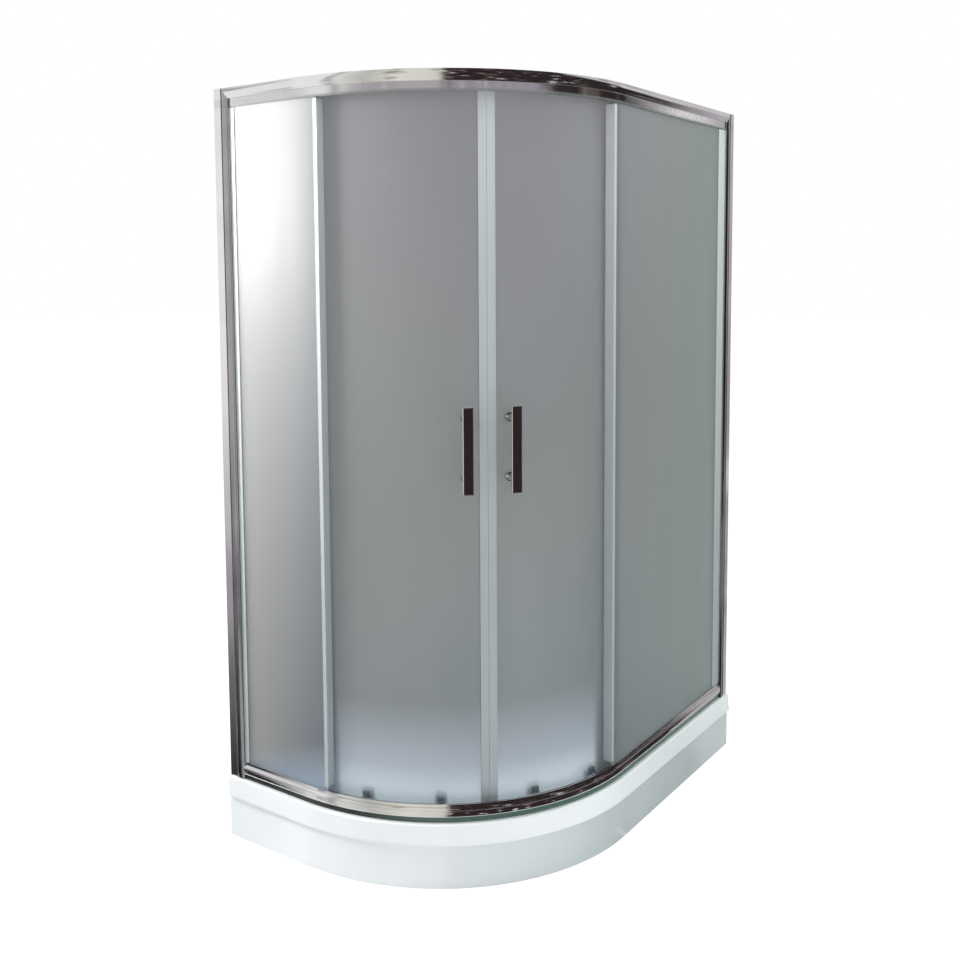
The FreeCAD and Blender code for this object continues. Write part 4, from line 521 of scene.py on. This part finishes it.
def card_tones():
    """The cards by share, a direction from nought to one about the pole, and by height."""
    f = new_finish("studio_card_tones")
    east, north, height = f.axis("X") - CARD_POLE[0], f.axis("Y") - CARD_POLE[1], f.axis("Z")
    away = (east * east + north * north).root()
    turn = f.node("ShaderNodeMath", {"operation": "ARCTAN2"}, {0: north * -1.0, 1: east * -1.0})
    share = f.between(turn, -math.pi, math.pi, 0.0, 1.0)
    laid_out = f.node("ShaderNodeCombineXYZ", None, {"X": share * 40.0, "Y": height * 1.1, "Z": away * 3.0})
    broad = f.noise(0.55, 2.0, 0.5, laid_out)
    dashes = f.noise(1.9, 1.0, 0.5, laid_out)
    slant = (share - 0.70).most(0.0) * (height - 2.3).most(0.0) * 0.55
    rising = (share - 0.80).most(0.0) * f.between(height, 0.0, 0.6, 0.10, 0.0)
    tones = f.ramp(share + slant + rising + (broad - 0.5) * 0.010, CARD_STOPS)
    left_ground = f.between(height, 0.0, 0.9, 1.0, 0.0) * f.between(away, 0.8, 3.4, 1.0, 0.5)
    left_ground = left_ground * f.between(share, 0.380, 0.410, 1.0, 0.15)
    left_ground = left_ground * f.between(share, 0.42, 0.48, 1.0, 0.0)
    right_low = f.between(height, 0.3, 1.8, 0.8, 0.0) * f.between(share, 0.933, 0.938, 0.0, 1.0)
    horizon = f.between(height, 0.0, 0.05, 0.85, 0.0) * f.between(away, 1.8, 2.5, 0.0, 1.0)
    undashed = f.between(away, 0.68, 0.73, 1.0, 0.0) * f.between(share, 0.84, 0.86, 0.0, 1.0)
    dashed = f.between(dashes, 0.65, 0.70, 0.0, 0.85) * (1.0 - undashed)
    tones = f.mix(left_ground, tones, LEFT_GROUND_TONE)
    tones = f.mix(right_low, tones, RIGHT_LOW_TONE)
    tones = f.mix(horizon, tones, HORIZON_TONE)
    tones = f.mix(dashed, tones, DASH_TONE)
    tones = f.mix(f.between(broad, 0.33, 0.41, 0.7, 0.0), tones, PATCH_TONE)
    f.end(f.node("ShaderNodeEmission", None, {"Color": tones, "Strength": 1.0}))
    return f.holder


def make_surround():
    bpy.ops.object.select_all(action="DESELECT")
    bpy.ops.mesh.primitive_cylinder_add(
        vertices=96, radius=WALL_RADIUS, depth=WALL_HEIGHT, end_fill_type="TRIFAN",
        location=(0.0, 0.0, WALL_HEIGHT / 2 - WALL_DROP))
    wall = bpy.context.object
    wall.name = "studio_cards"
    bpy.ops.object.transform_apply(location=True)
    select_faces(wall, lambda face: face.center.z > WALL_HEIGHT - 0.01)
    bpy.ops.mesh.delete(type="FACE")
    bpy.ops.object.mode_set(mode="OBJECT")
    wall.visible_camera = False
    wall.visible_diffuse = False
    wall.visible_shadow = False
    wall.visible_transmission = False
    wall.data.materials.append(card_tones())


# ---------------------------------------------------------------------------
# Lamps and camera
# ---------------------------------------------------------------------------

LAMPS = (                         # name, place, aim, width, height, power, colour
    ("key_lamp", (-3.2, 0.9, 3.0), (-0.3, 0.0, 0.9), 2.2, 2.2, 12.0, (1.0, 0.99, 0.97)),
    ("glow_lamp", (-1.35, 1.35, 1.80), (-0.6, 0.3, 1.95), 0.9, 0.9, 58.0, (1.0, 1.0, 1.0)),
    ("top_lamp", (0.0, -0.4, 4.2), (0.0, 0.0, 0.9), 2.6, 2.6, 45.0, (1.0, 1.0, 1.0)),
    ("right_lamp", (1.5, -2.6, 2.2), (0.4, -0.4, 0.9), 1.6, 1.6, 16.0, (0.80, 1.0, 0.88)),
    ("low_lamp", (-0.55, -1.35, 0.15), (-0.25, -0.30, 0.12), 0.8, 0.2, 2.0, (0.98, 1.0, 1.0)),
)
CAMERA_PLACE = (-2.38371, -1.56959, 1.37353)
CAMERA_TURN, CAMERA_TIP, CAMERA_ROLL = -53.915, 4.982, -0.475      # degrees
FRAME_WIDTH = 960.0               # the photograph's, in pixels, as the next three
FOCAL_LENGTH = 1103.9
CENTRE_X = 446.0
CENTRE_Y = 368.0
SENSOR_WIDTH = 36.0


def make_lamp(name, place, aim, width, height, power, colour):
    light = bpy.data.lights.new(name, "AREA")
    light.shape = "RECTANGLE"
    light.size = width
    light.size_y = height
    light.energy = power
    light.color = colour
    holder = bpy.data.objects.new(name, light)
    bpy.context.scene.collection.objects.link(holder)
    holder.location = place
    holder.rotation_euler = (Vector(aim) - Vector(place)).to_track_quat("-Z", "Y").to_euler()
    holder.visible_glossy = False


def make_camera():
    turn, tip, roll = (math.radians(angle) for angle in (CAMERA_TURN, CAMERA_TIP, CAMERA_ROLL))
    ahead = Vector((-math.sin(turn) * math.cos(tip), math.cos(turn) * math.cos(tip), -math.sin(tip)))
    level = Vector((math.cos(turn), math.sin(turn), 0.0))
    upward = level.cross(ahead)
    right = level * math.cos(roll) + upward * math.sin(roll)
    up = upward * math.cos(roll) - level * math.sin(roll)
    lens = bpy.data.cameras.new("camera")
    lens.sensor_width = SENSOR_WIDTH
    lens.lens = FOCAL_LENGTH / FRAME_WIDTH * SENSOR_WIDTH
    lens.shift_x = (FRAME_WIDTH / 2 - CENTRE_X) / FRAME_WIDTH
    lens.shift_y = (CENTRE_Y - FRAME_WIDTH / 2) / FRAME_WIDTH
    holder = bpy.data.objects.new("camera", lens)
    bpy.context.scene.collection.objects.link(holder)
    turned = Matrix((right, up, -ahead)).transposed().to_4x4()
    holder.matrix_world = Matrix.Translation(CAMERA_PLACE) @ turned
    bpy.context.scene.camera = holder


make_floor()
make_air()
make_surround()
for row in LAMPS:
    make_lamp(*row)
make_camera()

bpy.context.scene.view_settings.view_transform = "Standard"
